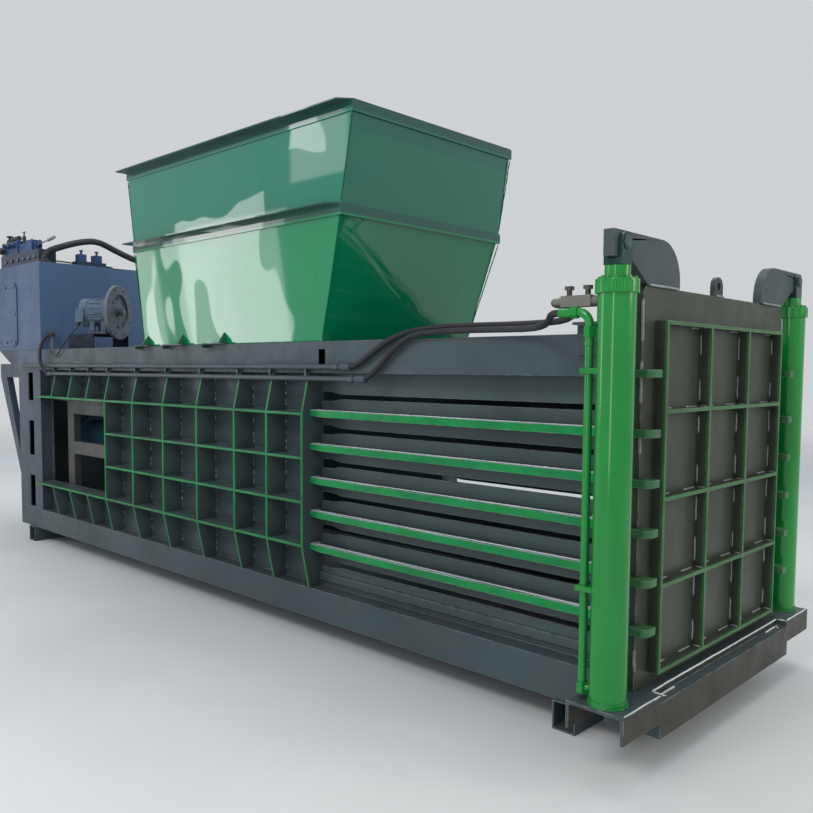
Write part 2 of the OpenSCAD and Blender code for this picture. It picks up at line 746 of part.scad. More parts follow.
module motor_flange() color("#767c80") at_motor() difference() {
  rod_x(-30, 0, motor_flange_d);
  rod_x(-18, 1, motor_flange_d * 0.66);
  rod_x(-31, 1, shaft_d + 24 + 2 * fit);
  for (i = [0:7]) rotate([i * 45 + 22.5, 0, 0]) translate([0, 0, motor_flange_d * 0.43]) rod_x(-31, 1, 18);
}
module motor_shaft() color("#9aa0a2") at_motor() {
  rod_x(-30, -6, shaft_d + 24);
  rod_x(-6, 40, shaft_d);
  span([-6, -7, shaft_d / 2 - 6], [34, 7, shaft_d / 2 + 4]);
}
cowl_d = motor_d + 12;
module fan_cowl() color("#4a545c") at_motor() {
  rod_x(-motor_l - 104, -motor_l - 40, cowl_d);
  rod_x(-motor_l - 114, -motor_l - 104, cowl_d - 36);
}

// Terminal box low on the motor's side, and the stub of conduit on the deck that its lead runs to
box_at = [-motor_l - 120, -motor_d / 2 - 20, -83];
stub_x = tank_x + 171;
stub_h = 113;
stub_d = 22;
module terminal_box() color("#8d979e") {
  at_motor() difference() {
    span(box_at, box_at + [68, 80, 110]);
    rod_x(-motor_l - 200, 0, cowl_d + 2 * seat);
  }
  translate([stub_x, 27 - rail_y, deck]) {
    cylinder(d = stub_d, h = stub_h);
    cylinder(d = stub_d + 20, h = 10);
  }
}

// Catmull-Rom smoothing of a hand-picked route
function spline(a, b, c, d, t) = 0.5 * ((2 * b) + (c - a) * t + (2 * a - 5 * b + 4 * c - d) * t * t
  + (3 * b - a - 3 * c + d) * t * t * t);
function smooth(p, n) = concat(
  [for (i = [0:len(p) - 2]) each [for (k = [0:n - 1])
    spline(p[max(i - 1, 0)], p[i], p[i + 1], p[min(i + 2, len(p) - 1)], k / n)]],
  [p[len(p) - 1]]);
function with_ends(p, n) = concat([p[0]], smooth([for (i = [1:len(p) - 2]) p[i]], n), [p[len(p) - 1]]);
function unit(v) = v / norm(v);
function tangent(p, i) = unit(p[min(i + 1, len(p) - 1)] - p[max(i - 1, 0)]);
function frame_v(p, i) = i == 0
  ? unit(cross(tangent(p, 0), abs(tangent(p, 0)[2]) > 0.9 ? [0, 1, 0] : [0, 0, 1]))
  : unit(let(t = tangent(p, i), v = frame_v(p, i - 1)) v - t * (v * t));

// Round tube swept along a route
module sweep(path, r, sides) {
  n = len(path);
  pts = [for (i = [0:n - 1]) let(t = tangent(path, i), u = frame_v(path, i), v = cross(t, u))
    each [for (k = [0:sides - 1]) let(a = 360 * k / sides) path[i] + r * (cos(a) * u + sin(a) * v)]];
  polyhedron(pts, concat(
    [[for (k = [0:sides - 1]) k]],
    [for (i = [0:n - 2], k = [0:sides - 1]) let(m = (k + 1) % sides)
      [i * sides + m, i * sides + k, (i + 1) * sides + k, (i + 1) * sides + m]],
    [[for (k = [sides - 1:-1:0]) (n - 1) * sides + k]]
  ));
}

// Motor lead: out of the terminal box, over the deck edge in a loop and up to a stub on the deck
cable_d = 12;
module motor_cable() color("#23272a") {
  route = [
    [-5257, 29, 223], [-5257, 29, 209], [-5292, 7, 153], [-5352, -7, 107], [-5430, -15, 59],
    [-5500, -21, 3], [-5560, -21, -42], [-5620, -21, -62], [-5680, -21, -45], [-5720, -19, 3],
    [-5745, -9, 68], [-5763, 7, 123], [-5782, 23, 141], [-5790, 27, 131], [-5790, 27, 113]
  ];
  sweep([for (p = with_ends(route, 3)) [face_x + p[0], p[1] - rail_y, deck + p[2]]], cable_d / 2, 8);
}

// Lift cylinders on the ends of the front beam
module at_lift() both() translate([door_mid, lift_y, 0]) children();
foot_h = 20;
barrel_top = door_top - barrel_drop;
barrel_h = barrel_top - rail_top - foot_h;
head_d = barrel_d + 20;
head_h = 52;
head_top = barrel_top + head_h;
gland_h = 50;
gland_top = head_top + gland_h;
module lift_barrels() color("#1f9a3f") at_lift() {
  translate([0, 0, rail_top]) cylinder(d = barrel_d + 10, h = foot_h);
  difference() {
    translate([0, 0, rail_top + foot_h - 1]) cylinder(d = barrel_d, h = barrel_h + 1);
    translate([0, 0, rail_top + foot_h + 10]) cylinder(d = barrel_bore, h = barrel_h);
  }
}

// Scalloped head collar, gland and ring of bolts
module lift_heads() color("#1f9a3f") at_lift() difference() {
  union() {
    translate([0, 0, barrel_top]) cylinder(d = head_d, h = head_h);
    translate([0, 0, head_top]) cylinder(d = lift_rod_d + 28, h = gland_h);
    for (i = [0:7]) rotate([0, 0, i * 45 + 22.5])
      translate([head_d / 2 - 17, 0, head_top]) cylinder(d = 16, h = 12);
  }
  translate([0, 0, barrel_top - 1]) cylinder(d = lift_rod_d + 2 * fit, h = head_h + gland_h + 2);
  for (i = [0:15]) rotate([0, 0, i * 22.5])
    translate([head_d / 2 + 5, 0, barrel_top - 1]) cylinder(d = 18, h = head_h - 7);
}

// Rods with piston and fork, pinned to the lifting arms
pin_z = gland_top + 86;
fork_w = arm_t + 2 * fork_t + 2;
fork_floor = gland_top + 28;
piston_low = rail_top + foot_h + 20;
module lift_rods() color("#9ea6a4") at_lift() {
  translate([0, 0, piston_low]) cylinder(d = barrel_bore - 2 * fit, h = 60);
  translate([0, 0, piston_low]) cylinder(d = lift_rod_d, h = gland_top + 3 - piston_low);
  difference() {
    union() {
      span([-fork_w / 2, -fork_r, gland_top + 2], [fork_w / 2, fork_r, pin_z]);
      translate([-fork_w / 2, 0, pin_z]) rotate([0, 90, 0]) cylinder(r = fork_r, h = fork_w);
    }
    span([-arm_t / 2 - 1, -fork_r - 1, fork_floor], [arm_t / 2 + 1, fork_r + 1, pin_z + fork_r + 1]);
    translate([-fork_w, 0, pin_z]) rotate([0, 90, 0]) cylinder(d = pin_d + 2 * fit, h = 2 * fork_w);
  }
}
module lift_pins() color("#8a9090") at_lift()
  translate([-fork_w / 2 - 8, 0, pin_z]) rotate([0, 90, 0]) cylinder(d = pin_d, h = fork_w + 16);

// Flame-cut lifting arms welded on the top edge of the door
arm_top = pin_z + 46;
arm_in = 445;
arm_r = arm_top - door_top - 28;
module lift_arms() color("#4a5557") both() difference() {
  edge = door_y;
  end_y = lift_y + arm_end;
  plate_x(door_mid, arm_t) {
    polygon([
      [arm_in, door_top], [edge - 24, door_top], [lift_y - 62, fork_floor + 3], [end_y, fork_floor + 3],
      [end_y, arm_top], [arm_in + arm_r, arm_top], [arm_in + arm_r, arm_top - arm_r], [arm_in, arm_top - arm_r]
    ]);
    translate([arm_in + arm_r, arm_top - arm_r]) intersection() {
      circle(arm_r);
      translate([-arm_r, 0]) square(arm_r);
    }
  }
  translate([door_mid - arm_t, lift_y, pin_z]) rotate([0, 90, 0]) cylinder(d = pin_d + 2 * fit, h = 2 * arm_t);
}

module lifting_eye() color("#4a5557") {
  eye_y = -35;
  r = 44;
  plate_x(door_mid, 24) translate([eye_y, door_top]) difference() {
    union() {
      translate([-r, 0]) square([2 * r, 44]);
      translate([0, 44]) circle(r);
    }
    translate([0, 46]) circle(d = 36);
  }
}

// Side pipe of each lift cylinder: foot port, riser, top elbow and hose ferrule
pipe_at = [-100, 26];
pipe_top = barrel_top - 116;
pipe_low = rail_top + 48;
elbow_r = 50;
ferrule_l = 50;
clamp_h = 22;
clamp_z = [rail_top + 435, rail_top + 1283];
module lift_pipes() color("#1f9a3f") at_lift() difference() {
  d = side_pipe_d;
  translate([pipe_at[0], pipe_at[1], 0]) {
    translate([0, 0, pipe_low]) cylinder(d = d, h = pipe_top - pipe_low);
    translate([0, 0, pipe_low - 22]) cylinder(d = d + 14, h = 44, $fn = 6);
    for (z = clamp_z) translate([0, 0, z]) span([-26, -34, 0], [80, 26, clamp_h]);
    translate([0, 0, pipe_top - 78]) cylinder(d = d + 8, h = 14);
    translate([0, 0, pipe_top - 46]) cylinder(d = d + 16, h = 40, $fn = 6);
    translate([0, 0, pipe_low]) rotate([0, 90, atan2(-pipe_at[1], -pipe_at[0])])
      cylinder(d = d - 4, h = -pipe_at[0]);
    translate([-elbow_r, 0, pipe_top]) {
      rotate([90, 0, 0]) rotate_extrude(angle = 90) translate([elbow_r, 0]) circle(d = d);
      translate([0, 0, elbow_r]) rotate([0, -90, 0]) {
        cylinder(d = d + 14, h = 35, $fn = 6);
        translate([0, 0, 34]) cylinder(d = d + 4, h = ferrule_l + 1);
      }
    }
  }
  translate([0, 0, rail_top]) cylinder(d = barrel_d, h = barrel_h);
}

// Valve on the head port of each lift cylinder: nipple, body, two knobs and hose elbow
port_z = barrel_top - 21;
valve_x = [-255, -100];
turn_r = 40;
module lock_valves() color("#3a3d3c") at_lift() translate([0, 0, port_z]) {
  difference() {
    rod_x(valve_x[0], 0, 40);
    translate([0, 0, -40]) cylinder(d = barrel_d, h = 80);
  }
  span([valve_x[0] + 20, -25, -22], [valve_x[1], 25, 22]);
  for (x = [valve_x[0] + 45, valve_x[1] - 26]) {
    translate([x, 0, 20]) cylinder(d = 22, h = 28);
    translate([x, 0, 46]) cylinder(d = 38, h = 14);
  }
  translate([valve_x[0], -turn_r, 0]) {
    rotate([0, 0, 90]) rotate_extrude(angle = 90) translate([turn_r, 0]) circle(d = 34);
    translate([-turn_r, 0, 0]) rotate([90, 0, 0]) cylinder(d = 38, h = ferrule_l);
  }
}

// Angle bracket on the deck box beside each guide post
module valve_bracket() color("#34393c") both() {
  span([face_x - 400, rail_y, deck - 92], [post_back, rail_y + 12, deck + 48]);
  span([face_x - 400, rail_y, deck + 36], [post_back, rail_y + 54, deck + 48]);
}

// Two long steel pipes on each side, clipped above the ribs
pipe_y = rail_y + 8 + pipe_d / 2;
pipe_z = [box_low + 37, box_low - 30];
pipe_x = [[rear_x + 137, rib_x + 321], [tank_x + 272, rib_x + 444]];
module pressure_pipes() color("#5b6468") both() {
  for (i = [0, 1]) translate([0, pipe_y, pipe_z[i]]) {
    rod_x(pipe_x[i][0], pipe_x[i][1], pipe_d);
    translate([pipe_x[i][1] - 60, 0, 0]) rotate([0, 90, 0]) cylinder(d = pipe_d + 14, h = 34, $fn = 6);
  }
  r = pipe_y - rail_y - 6;
  translate([pipe_x[0][0], pipe_y - r, pipe_z[0]]) {
    rotate([0, 0, 90]) rotate_extrude(angle = 90) translate([r, 0]) circle(d = pipe_d);
    translate([-r, 0, 0]) rotate([90, 0, 0]) cylinder(d = pipe_d, h = 6);
  }
  translate([pipe_x[1][0] - 24, pipe_y, pipe_z[1]]) rotate([0, 90, 0])
    cylinder(d = pipe_d + 14, h = 34, $fn = 6);
}

// Saddles that carry the long pipes on the deck box
saddle_t = 12;
module pipe_clips() color("#2f3a35") both()
  for (x = concat(long_ribs, short_ribs)) plate_x(x, saddle_t) difference() {
    polygon([
      [rail_y, box_low + 3], [pipe_y - 3, box_low - 16], [pipe_y + 3, box_low - 16],
      [pipe_y + 3, pipe_z[0] + 4], [rail_y, pipe_z[0] + pipe_d / 2 + 8]
    ]);
    for (z = pipe_z) translate([pipe_y, z]) circle(d = pipe_d + 2 * fit);
  }

// Where the hoses meet the valve on the head port and the elbow of the side pipe
lift_x = door_mid - face_x;
hose_a_end = [lift_x + valve_x[0] - turn_r, lift_y - turn_r - ferrule_l, port_z];
hose_b_end = [lift_x + pipe_at[0] - elbow_r - 35 - ferrule_l, lift_y + pipe_at[1], pipe_top + elbow_r];

// Hose routes: X from the door face, Y on the far side, and Z
route_a = [
  for (d = [0, 15]) [pipe_x[0][1] - face_x + d, pipe_y, pipe_z[0]],
  [-1790, pipe_y, pipe_z[0] + 8], [-1680, rail_y + 25, deck - 83], [-1542, rail_y + 25, deck - 11],
  [-1398, rail_y + 9, deck + 36], [-1160, rail_y - 7, deck + 55], [-800, rail_y - 9, deck + 53],
  [-560, rail_y - 7, deck + 55], [-455, rail_y + 9, deck + 65],
  hose_a_end + [-28, -125, -28], hose_a_end + [-3, -64, -7],
  for (d = [15, 0]) hose_a_end - [0, d, 0]
];
route_b = [
  for (d = [0, 15]) [pipe_x[1][1] - face_x + d, pipe_y, pipe_z[1]],
  [-1680, pipe_y, pipe_z[1] + 15], [-1570, rail_y + 27, deck - 117], [-1433, rail_y + 29, deck - 15],
  [-1290, rail_y + 27, deck + 25], [-970, rail_y + 29, deck + 31], [-660, rail_y + 43, deck + 27],
  [-540, rail_y + 83, deck + 33], [-450, rail_y + 159, deck + 45],
  hose_b_end + [-75, -45, -7], hose_b_end + [-35, -7, -1],
  for (d = [14, 0]) hose_b_end - [d, 0, 0]
];
// Rear hose from the lower pipe up the corner to the front of the tank
route_c = [
  for (d = [24, 36]) [pipe_x[1][0] - face_x - d, pipe_y, pipe_z[1]],
  [186 - tank_back, rail_y + 40, pipe_z[1] + 11], [136 - tank_back, rail_y + 57, pipe_z[1] + 67],
  [109 - tank_back, rail_y + 57, deck - 77], [93 - tank_back, rail_y + 47, deck - 2],
  [85 - tank_back, rail_y + 17, deck + 75], [77 - tank_back, rail_y - 35, deck + 129],
  [56 - tank_back, rail_y - 77, deck + 145], for (d = [16, 0]) [d - tank_back, rail_y - 87, deck + 145]
];
module hose(route)
  sweep([for (p = with_ends(route, 2)) [face_x + p[0], p[1], p[2]]], hose_d / 2, 10);
module pressure_hoses() color("#1d1f20") both() {
  hose(route_a);
  hose(route_b);
  hose(route_c);
}

// Main cylinder, flanged to the rear crosshead
module main_barrel() color("#3b6e8f") translate([0, 0, main_z]) difference() {
  union() {
    rod_x(main_rear, main_front, main_d);
    rod_x(rear_x + 180, rear_x + 220, main_d + 90);
    rod_x(main_front - 70, main_front, main_d + 40);
  }
  rod_x(main_rear + 40, main_front - 80, main_bore);
  rod_x(main_front - 100, main_front + 1, main_rod_d + 2 * fit);
}
module ram_rod() color("#b9bec0") translate([0, 0, main_z]) {
  rod_x(main_rear + 60, main_rear + 140, main_bore - 2 * fit);
  rod_x(main_rear + 139, ram_x - ram_head_d, main_rod_d);
}

// Ram head: open-backed box with a boss for the rod
module ram_head() color("#53595a") {
  y = inner_y - 3;
  x1 = ram_x;
  x0 = ram_x - ram_head_d;
  difference() {
    span([x0, -y, floor_top + seat], [x1, y, ram_top]);
    span([x0 - 1, -y + 30, floor_top + 30], [x1 - 30, y - 30, ram_top - 30]);
  }
  web_y = 260;
  for (c = [-web_y, web_y]) span([x0 + 1, c - 8, floor_top + 20], [x1 - 20, c + 8, ram_top - 20]);
  translate([0, 0, main_z]) rod_x(x0, x1 - 20, 260);
}

module ram_frame() color("#454c4f") {
  x1 = ram_x - ram_head_d;
  y1 = inner_y - 19;
  y0 = y1 - 60;
  arm_l = 1440;
  both() {
    span([x1 - arm_l, y0, floor_top + seat], [x1, y1, floor_top + 100]);
    span([x1 - arm_l, y0, floor_top + 511], [x1, y1, floor_top + 623]);
    span([x1 - arm_l, y0, ram_top - 380], [x1, y1, ram_top - 260]);
    span([x1 - arm_l, y0, floor_top + seat], [x1 - arm_l + 120, y1, ram_top - 260]);
    span([ram_rear, y1 - 14, ram_top - 270], [x1, y1, ram_top]);
  }
  span([ram_rear, -y1, ram_top - 16], [x1, y1, ram_top]);
  span([x1 - arm_l, -y0 - 1, ram_top - 380], [x1 - arm_l + 120, y0 + 1, ram_top - 260]);
}

// Shear blade bolted under the front edge of the feed opening
module shear_blade() color("#8f9496")
  span([hopper_x - 70, -inner_y + 8, box_low - 2], [hopper_x - 40, inner_y - 8, box_low + 70]);

// Door panel: flat plate with clipped upper corners
module door_panel() color("#4a5557") plate_x(door_mid, door_t)
  polygon([
    [-door_y, door_low], [door_y, door_low], [door_y, door_top - 30], [door_y - 24, door_top],
    [-door_y + 24, door_top], [-door_y, door_top - 30]
  ]);

// Door stiffeners: four uprights and five cross bars welded into one grid
module door_stiffeners() color("#2f8f4f") {
  y = door_y - grid_in;
  z0 = door_low + grid_low;
  for (i = [0:3]) {
    c = -y + grid_t / 2 + i * (2 * y - grid_t) / 3;
    span([door_front, c - grid_t / 2, z0], [face_x, c + grid_t / 2, grid_top]);
  }
  for (i = [0:4]) {
    c = z0 + grid_t / 2 + i * (grid_top - z0 - grid_t) / 4;
    span([door_front, -y, c - grid_t / 2], [face_x, y, c + grid_t / 2]);
  }
}

base_frame();
cross_bearers();
front_beam();
chamber_floor();
ram_wall_near();
ram_wall_far();
ribs_near();
rib_bars_near();
ribs_far();
rib_bars_far();
slats_near();
slats_far();
slat_bars();
deck_boxes();
bale_deck();
rear_deck();
rear_columns();
rear_crosshead();
guide_posts();
claws();
tank_brackets();
hopper_lower();
hopper_upper();
hopper_straps();
hex_bolts();
oil_tank();
tank_cover();
filler_cap();
valve_manifold();
valve_bodies();
pressure_gauge();
suction_hose();
motor_stand();
motor_housing();
motor_flange();
fan_cowl();
terminal_box();
motor_cable();
lift_barrels();
lift_heads();
lift_pipes();
pipe_clips();
main_barrel();
pressure_pipes();
lock_valves();
pressure_hoses();
shear_blade();
valve_bracket();
door_panel();
door_stiffeners();
lift_arms();
lifting_eye();
lift_rods();
lift_pins();
ram_head();
ram_frame();
ram_rod();
relief_knob();
hand_lever();
motor_shaft();
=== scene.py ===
"""Looks of a horizontal recycling baler: paint, welds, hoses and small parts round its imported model."""
import json
import math
import random

import bmesh
import bpy
from mathutils import Matrix, Vector, noise


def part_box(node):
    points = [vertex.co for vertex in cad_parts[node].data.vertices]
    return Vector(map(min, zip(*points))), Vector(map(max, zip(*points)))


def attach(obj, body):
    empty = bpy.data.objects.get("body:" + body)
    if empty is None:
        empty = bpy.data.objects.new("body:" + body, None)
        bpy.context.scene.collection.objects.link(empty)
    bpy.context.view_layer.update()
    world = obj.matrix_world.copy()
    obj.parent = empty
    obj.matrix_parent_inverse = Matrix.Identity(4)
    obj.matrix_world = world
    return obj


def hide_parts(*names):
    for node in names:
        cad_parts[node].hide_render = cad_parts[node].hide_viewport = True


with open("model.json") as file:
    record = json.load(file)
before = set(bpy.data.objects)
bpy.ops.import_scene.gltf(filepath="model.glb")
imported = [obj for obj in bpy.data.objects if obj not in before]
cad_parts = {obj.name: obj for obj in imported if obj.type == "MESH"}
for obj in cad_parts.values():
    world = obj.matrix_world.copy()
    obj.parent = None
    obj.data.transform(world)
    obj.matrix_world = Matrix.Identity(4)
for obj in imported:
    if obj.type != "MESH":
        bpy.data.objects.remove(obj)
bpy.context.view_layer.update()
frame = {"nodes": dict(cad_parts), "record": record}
nodes = frame["nodes"]
random.seed(11)

# Places that the pieces share, taken from the frame, in metres
FACE_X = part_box("door_stiffeners")[1].x
DECK_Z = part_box("deck_boxes")[1].z
RAIL_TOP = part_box("base_frame")[1].z
RAIL_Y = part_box("base_frame")[1].y
RIB_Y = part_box("ribs_far")[1].y
WALL_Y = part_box("slats_far")[1].y
BAR_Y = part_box("slat_bars")[1].y
GLAND_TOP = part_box("lift_heads")[1].z
POST_LOW, POST_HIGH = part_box("guide_posts")

# Sizes and places that the model has, in metres
LIFT_X, LIFT_Y = FACE_X - 0.065, 0.919  # axis of a lift cylinder
PIPE_Y = 0.670  # long pipes along the side
LEDGE_Y = 0.690  # where the front beam's ledge ends
CHAMBER_TOP = 1.586
STIFFENER_T = 0.016
RIB_HALF = 0.008  # half of a rib's thickness
FRONT_PITCH, RIB_PITCH, SHORT_PITCH = 0.342, 0.441, 0.331
RIB_ROWS = [0.322, 0.569, 0.8283, 1.0877, 1.347, 1.575]
BAR_FOOT, CLAW_FOOT, ROW_PITCH = 0.558, 0.572, 0.198
TOP_CLAW_LIFT = 0.038  # how much higher than its row the top claw sits
LOCK_VALVE_Z = 1.880
TANK_FRONT = FACE_X - 5.961
MOTOR_PLACE = Vector((FACE_X - 5.073, -0.345, DECK_Z + 0.306))
MOTOR_TURN = Matrix.Rotation(math.radians(36.5), 3, "Z")

PALE = (0.62, 0.64, 0.655, 1)  # the background, and the floor far away
DUST = (0.21, 0.20, 0.175)
# grime near the floor, also standing in as painted brown bounce light from the floor
GRIME_AND_FLOOR_BOUNCE = (0.10, 0.085, 0.06)


def set_camera():
    """Camera at the photograph's place, turn and framing."""
    data = bpy.data.cameras.new("camera")
    data.sensor_width = 36
    data.lens = 36.476
    data.shift_x = 0.0017
    data.shift_y = 0.0228
    data.clip_end = 500
    camera = bpy.data.objects.new("camera", data)
    right = Vector((0.72110, 0.69280, 0.00695))
    up = Vector((-0.05137, 0.04346, 0.99773))
    back = Vector((0.69092, -0.71982, 0.06692))
    place = Vector((FACE_X + 1.530, -3.731, 1.608))
    camera.matrix_world = Matrix((
        (right.x, up.x, back.x, place.x),
        (right.y, up.y, back.y, place.y),
        (right.z, up.z, back.z, place.z),
        (0, 0, 0, 1),
    ))
    bpy.context.scene.collection.objects.link(camera)
    bpy.context.scene.camera = camera


def set_light():
    """Soft studio light: pale world, large lamps and three window cards that the hopper mirrors."""
    scene = bpy.context.scene
    scene.view_settings.view_transform = "Standard"
    world = bpy.data.worlds.new("studio")
    scene.world = world
    world.use_nodes = True
    tree = world.node_tree
    tree.nodes.clear()
    light = tree.nodes.new("ShaderNodeBackground")
    light.inputs["Color"].default_value = (0.78, 0.88, 0.98, 1)
    light.inputs["Strength"].default_value = 0.64
    seen = tree.nodes.new("ShaderNodeBackground")
    seen.inputs["Color"].default_value = PALE
    path = tree.nodes.new("ShaderNodeLightPath")
    either = path.outputs["Is Camera Ray"]
    for ray in ("Is Glossy Ray", "Is Transmission Ray"):
        greater = tree.nodes.new("ShaderNodeMath")
        greater.operation = "MAXIMUM"
        tree.links.new(either, greater.inputs[0])
        tree.links.new(path.outputs[ray], greater.inputs[1])
        either = greater.outputs[0]
    mix = tree.nodes.new("ShaderNodeMixShader")
    tree.links.new(either, mix.inputs[0])
    tree.links.new(light.outputs[0], mix.inputs[1])
    tree.links.new(seen.outputs[0], mix.inputs[2])
    out = tree.nodes.new("ShaderNodeOutputWorld")
    tree.links.new(mix.outputs[0], out.inputs["Surface"])
    lamp("key", (FACE_X - 1, -9.5, 9.5), (FACE_X - 3, 0, 1.2), (6, 3), 470)
    lamp("front", (FACE_X + 8, 3.5, 5), (FACE_X, 0, 1.2), (4, 5), 230, (1.0, 0.95, 0.82))
    lamp("top", (0, 1.5, 9.5), (0, 0, 1), (8, 5), 300)
    lamp("glint", (FACE_X + 0.51, -5.9, 2.2), (FACE_X, 0, 2.0), (0.5, 3.2), 26)
    card_y, card_power = -6.9, 12.0  # place, and watts for each square metre
    for name, x, z, width, height in (
        ("window_a", -11.75, 1.9, 1.3, 2.8), ("window_b", -8.5, 2.75, 3.3, 3.7), ("window_c", -6.0, 5.6, 1.5, 1.2),
    ):
        lamp(name, (x, card_y, z), (x, 0, z), (width, height), card_power * width * height)


def lamp(name, place, target, size, power, color=(1, 1, 1)):
    """An area lamp turned to a target, which no camera sees."""
    data = bpy.data.lights.new(name, "AREA")
    data.shape = "RECTANGLE"
    data.size, data.size_y = size
    data.energy = power
    data.color = color
    piece = bpy.data.objects.new(name, data)
    piece.location = place
    piece.rotation_euler = (Vector(target) - Vector(place)).to_track_quat("-Z", "Y").to_euler()
    piece.visible_camera = False
    bpy.context.scene.collection.objects.link(piece)


class Shader:
    """A procedural material built from a few short calls, in the object's own metres."""

    def __init__(self, name):
        self.material = bpy.data.materials.new(name)
        self.material.use_nodes = True
        self.tree = self.material.node_tree
        self.bsdf = self.tree.nodes["Principled BSDF"]
        self.coords = self.tree.nodes.new("ShaderNodeTexCoord")
        self.place = self.coords.outputs["Object"]

    def wire(self, value, socket):
        """Links a socket, or sets a number or colour."""
        if hasattr(value, "is_output"):
            self.tree.links.new(value, socket)
        elif isinstance(value, (tuple, list)):
            socket.default_value = (*value, 1)[:4] if len(socket.default_value) == 4 else value
        else:
            socket.default_value = value

    def node(self, kind, **inputs):
        made = self.tree.nodes.new("ShaderNode" + kind)
        for key, value in inputs.items():
            self.wire(value, made.inputs[key.replace("_", " ")])
        return made

    def stretched(self, scale):
        made = self.node("Mapping", Vector=self.place)
        made.inputs["Scale"].default_value = scale
        return made.outputs[0]

    def noise(self, scale, detail=3.0, roughness=0.55, stretch=None):
        at = self.stretched(stretch) if stretch else self.place
        made = self.node("TexNoise", Vector=at, Scale=scale, Detail=detail, Roughness=roughness)
        return made.outputs["Fac"]

    def fit(self, value, low, high, to_low=0.0, to_high=1.0):
        """A smooth step of value from low to high."""
        made = self.tree.nodes.new("ShaderNodeMapRange")
        made.interpolation_type = "SMOOTHSTEP"
        keys = ("Value", "From Min", "From Max", "To Min", "To Max")
        for key, item in zip(keys, (value, low, high, to_low, to_high)):
            self.wire(item, made.inputs[key])
        return made.outputs[0]

    def math(self, operation, first, second=0.0):
        made = self.tree.nodes.new("ShaderNodeMath")
        made.operation = operation
        self.wire(first, made.inputs[0])
        self.wire(second, made.inputs[1])
        return made.outputs[0]

    def mix(self, share, first, second):
        made = self.tree.nodes.new("ShaderNodeMix")
        made.data_type = "RGBA"
        self.wire(share, made.inputs["Factor"])
        self.wire(first, made.inputs["A"])
        self.wire(second, made.inputs["B"])
        return made.outputs["Result"]

    def axis(self, name, of=None):
        made = self.node("SeparateXYZ", Vector=of or self.place)
        return made.outputs[name]

    def normal(self, name):
        """One axis of the surface's own normal."""
        return self.axis(name, self.coords.outputs["Normal"])

    def edges(self):
        """1 within 6 mm of a sharp edge, 0 on flat faces."""
        bevel = self.node("Bevel", Radius=0.006)
        bevel.samples = 4
        flat = self.tree.nodes.new("ShaderNodeNewGeometry")
        dot = self.tree.nodes.new("ShaderNodeVectorMath")
        dot.operation = "DOT_PRODUCT"
        self.tree.links.new(bevel.outputs[0], dot.inputs[0])
        self.tree.links.new(flat.outputs["Normal"], dot.inputs[1])
        return self.fit(dot.outputs["Value"], 0.995, 0.90)

    def corner_shade_mask(self):
        """Ambient occlusion for painted shade: 1 in inner corners, 0 on open faces."""
        made = self.node("AmbientOcclusion", Distance=0.14)
        made.samples = 4
        return self.fit(made.outputs["AO"], 0.80, 0.30)

    def bump(self, height, distance, strength, under=None):
        made = self.node("Bump", Height=height, Distance=distance, Strength=strength)
        if under:
            self.tree.links.new(under, made.inputs["Normal"])
        return made.outputs[0]

    def finish(self, color, roughness, normal=None, metallic=None, **constants):
        self.wire(color, self.bsdf.inputs["Base Color"])
        self.wire(roughness, self.bsdf.inputs["Roughness"])
        if normal:
            self.tree.links.new(normal, self.bsdf.inputs["Normal"])
        if metallic is not None:
            self.wire(metallic, self.bsdf.inputs["Metallic"])
        for key, value in constants.items():
            self.bsdf.inputs[key.replace("_", " ")].default_value = value
        return self.material


def paint(name, base, shade, rough=(0.36, 0.55), grime_and_bounce_share=0.35, edge_wear_and_highlight=None, peel=0.0006, wave=0.0, wave_size=1.9,
          coat=0.0, extra=None, metallic=None, spec=0.24, corners=0.22, dusty=0.14):
    """Sprayed enamel on plate: cloudy tone, streaks, specks, painted shade in inner corners, dusty tops, grime with
    painted floor bounce towards the floor, edge wear with painted edge highlights, orange peel and plate waves.
    """
    s = Shader(name)
    cloud = s.fit(s.noise(1.3, 4), 0.35, 0.68)
    color = s.mix(cloud, base, shade)
    if extra:
        color = extra(s, color)
    streak = s.fit(s.noise(2.2, 5, 0.65, stretch=(5, 5, 0.6)), 0.55, 0.78)
    color = s.mix(s.math("MULTIPLY", streak, 0.25), color, tuple(0.55 * c for c in base))
    speck = s.fit(s.noise(46, 3, 0.7), 0.60, 0.74)
    color = s.mix(s.math("MULTIPLY", speck, 0.14), color, tuple(min(1, 1.5 * c + 0.03) for c in base))
    # painted shade: inner corners darkened by ambient occlusion
    if corners:
        color = s.mix(s.math("MULTIPLY", s.corner_shade_mask(), corners), color, tuple(0.25 * c for c in shade))
    patch = s.fit(s.noise(5.0, 5, 0.7), 0.42, 0.70)
    if dusty:
        up = s.fit(s.normal("Z"), 0.7, 0.97)
        color = s.mix(s.math("MULTIPLY", s.math("MULTIPLY", up, patch), dusty), color, DUST)
    # browner towards the floor: grime, and painted brown bounce light from the floor
    low = s.fit(s.axis("Z"), 0.75, 0.0)
    grime_and_bounce = s.math("MULTIPLY", s.math("ADD", s.math("MULTIPLY", low, 0.7), 0.15), patch)
    color = s.mix(s.math("MULTIPLY", grime_and_bounce, grime_and_bounce_share), color, GRIME_AND_FLOOR_BOUNCE)
    # edge wear and painted highlight: a lighter colour along sharp edges, broken by noise
    if edge_wear_and_highlight:
        edge_wear_and_highlight_mask = s.math("MULTIPLY", s.edges(), s.fit(s.noise(18, 4, 0.7), 0.40, 0.58))
        color = s.mix(edge_wear_and_highlight_mask, color, edge_wear_and_highlight)
    roughness = s.fit(s.noise(7.0, 4, 0.6), 0.3, 0.7, *rough)
    normal = s.bump(s.noise(420, 1), peel, 0.35) if peel else None
    if wave:
        normal = s.bump(s.noise(wave_size, 2, 0.32), wave, 1.0, under=normal)
    return s.finish(color, roughness, normal, metallic, Coat_Weight=coat, Coat_Roughness=0.04,
                    Specular_IOR_Level=spec)


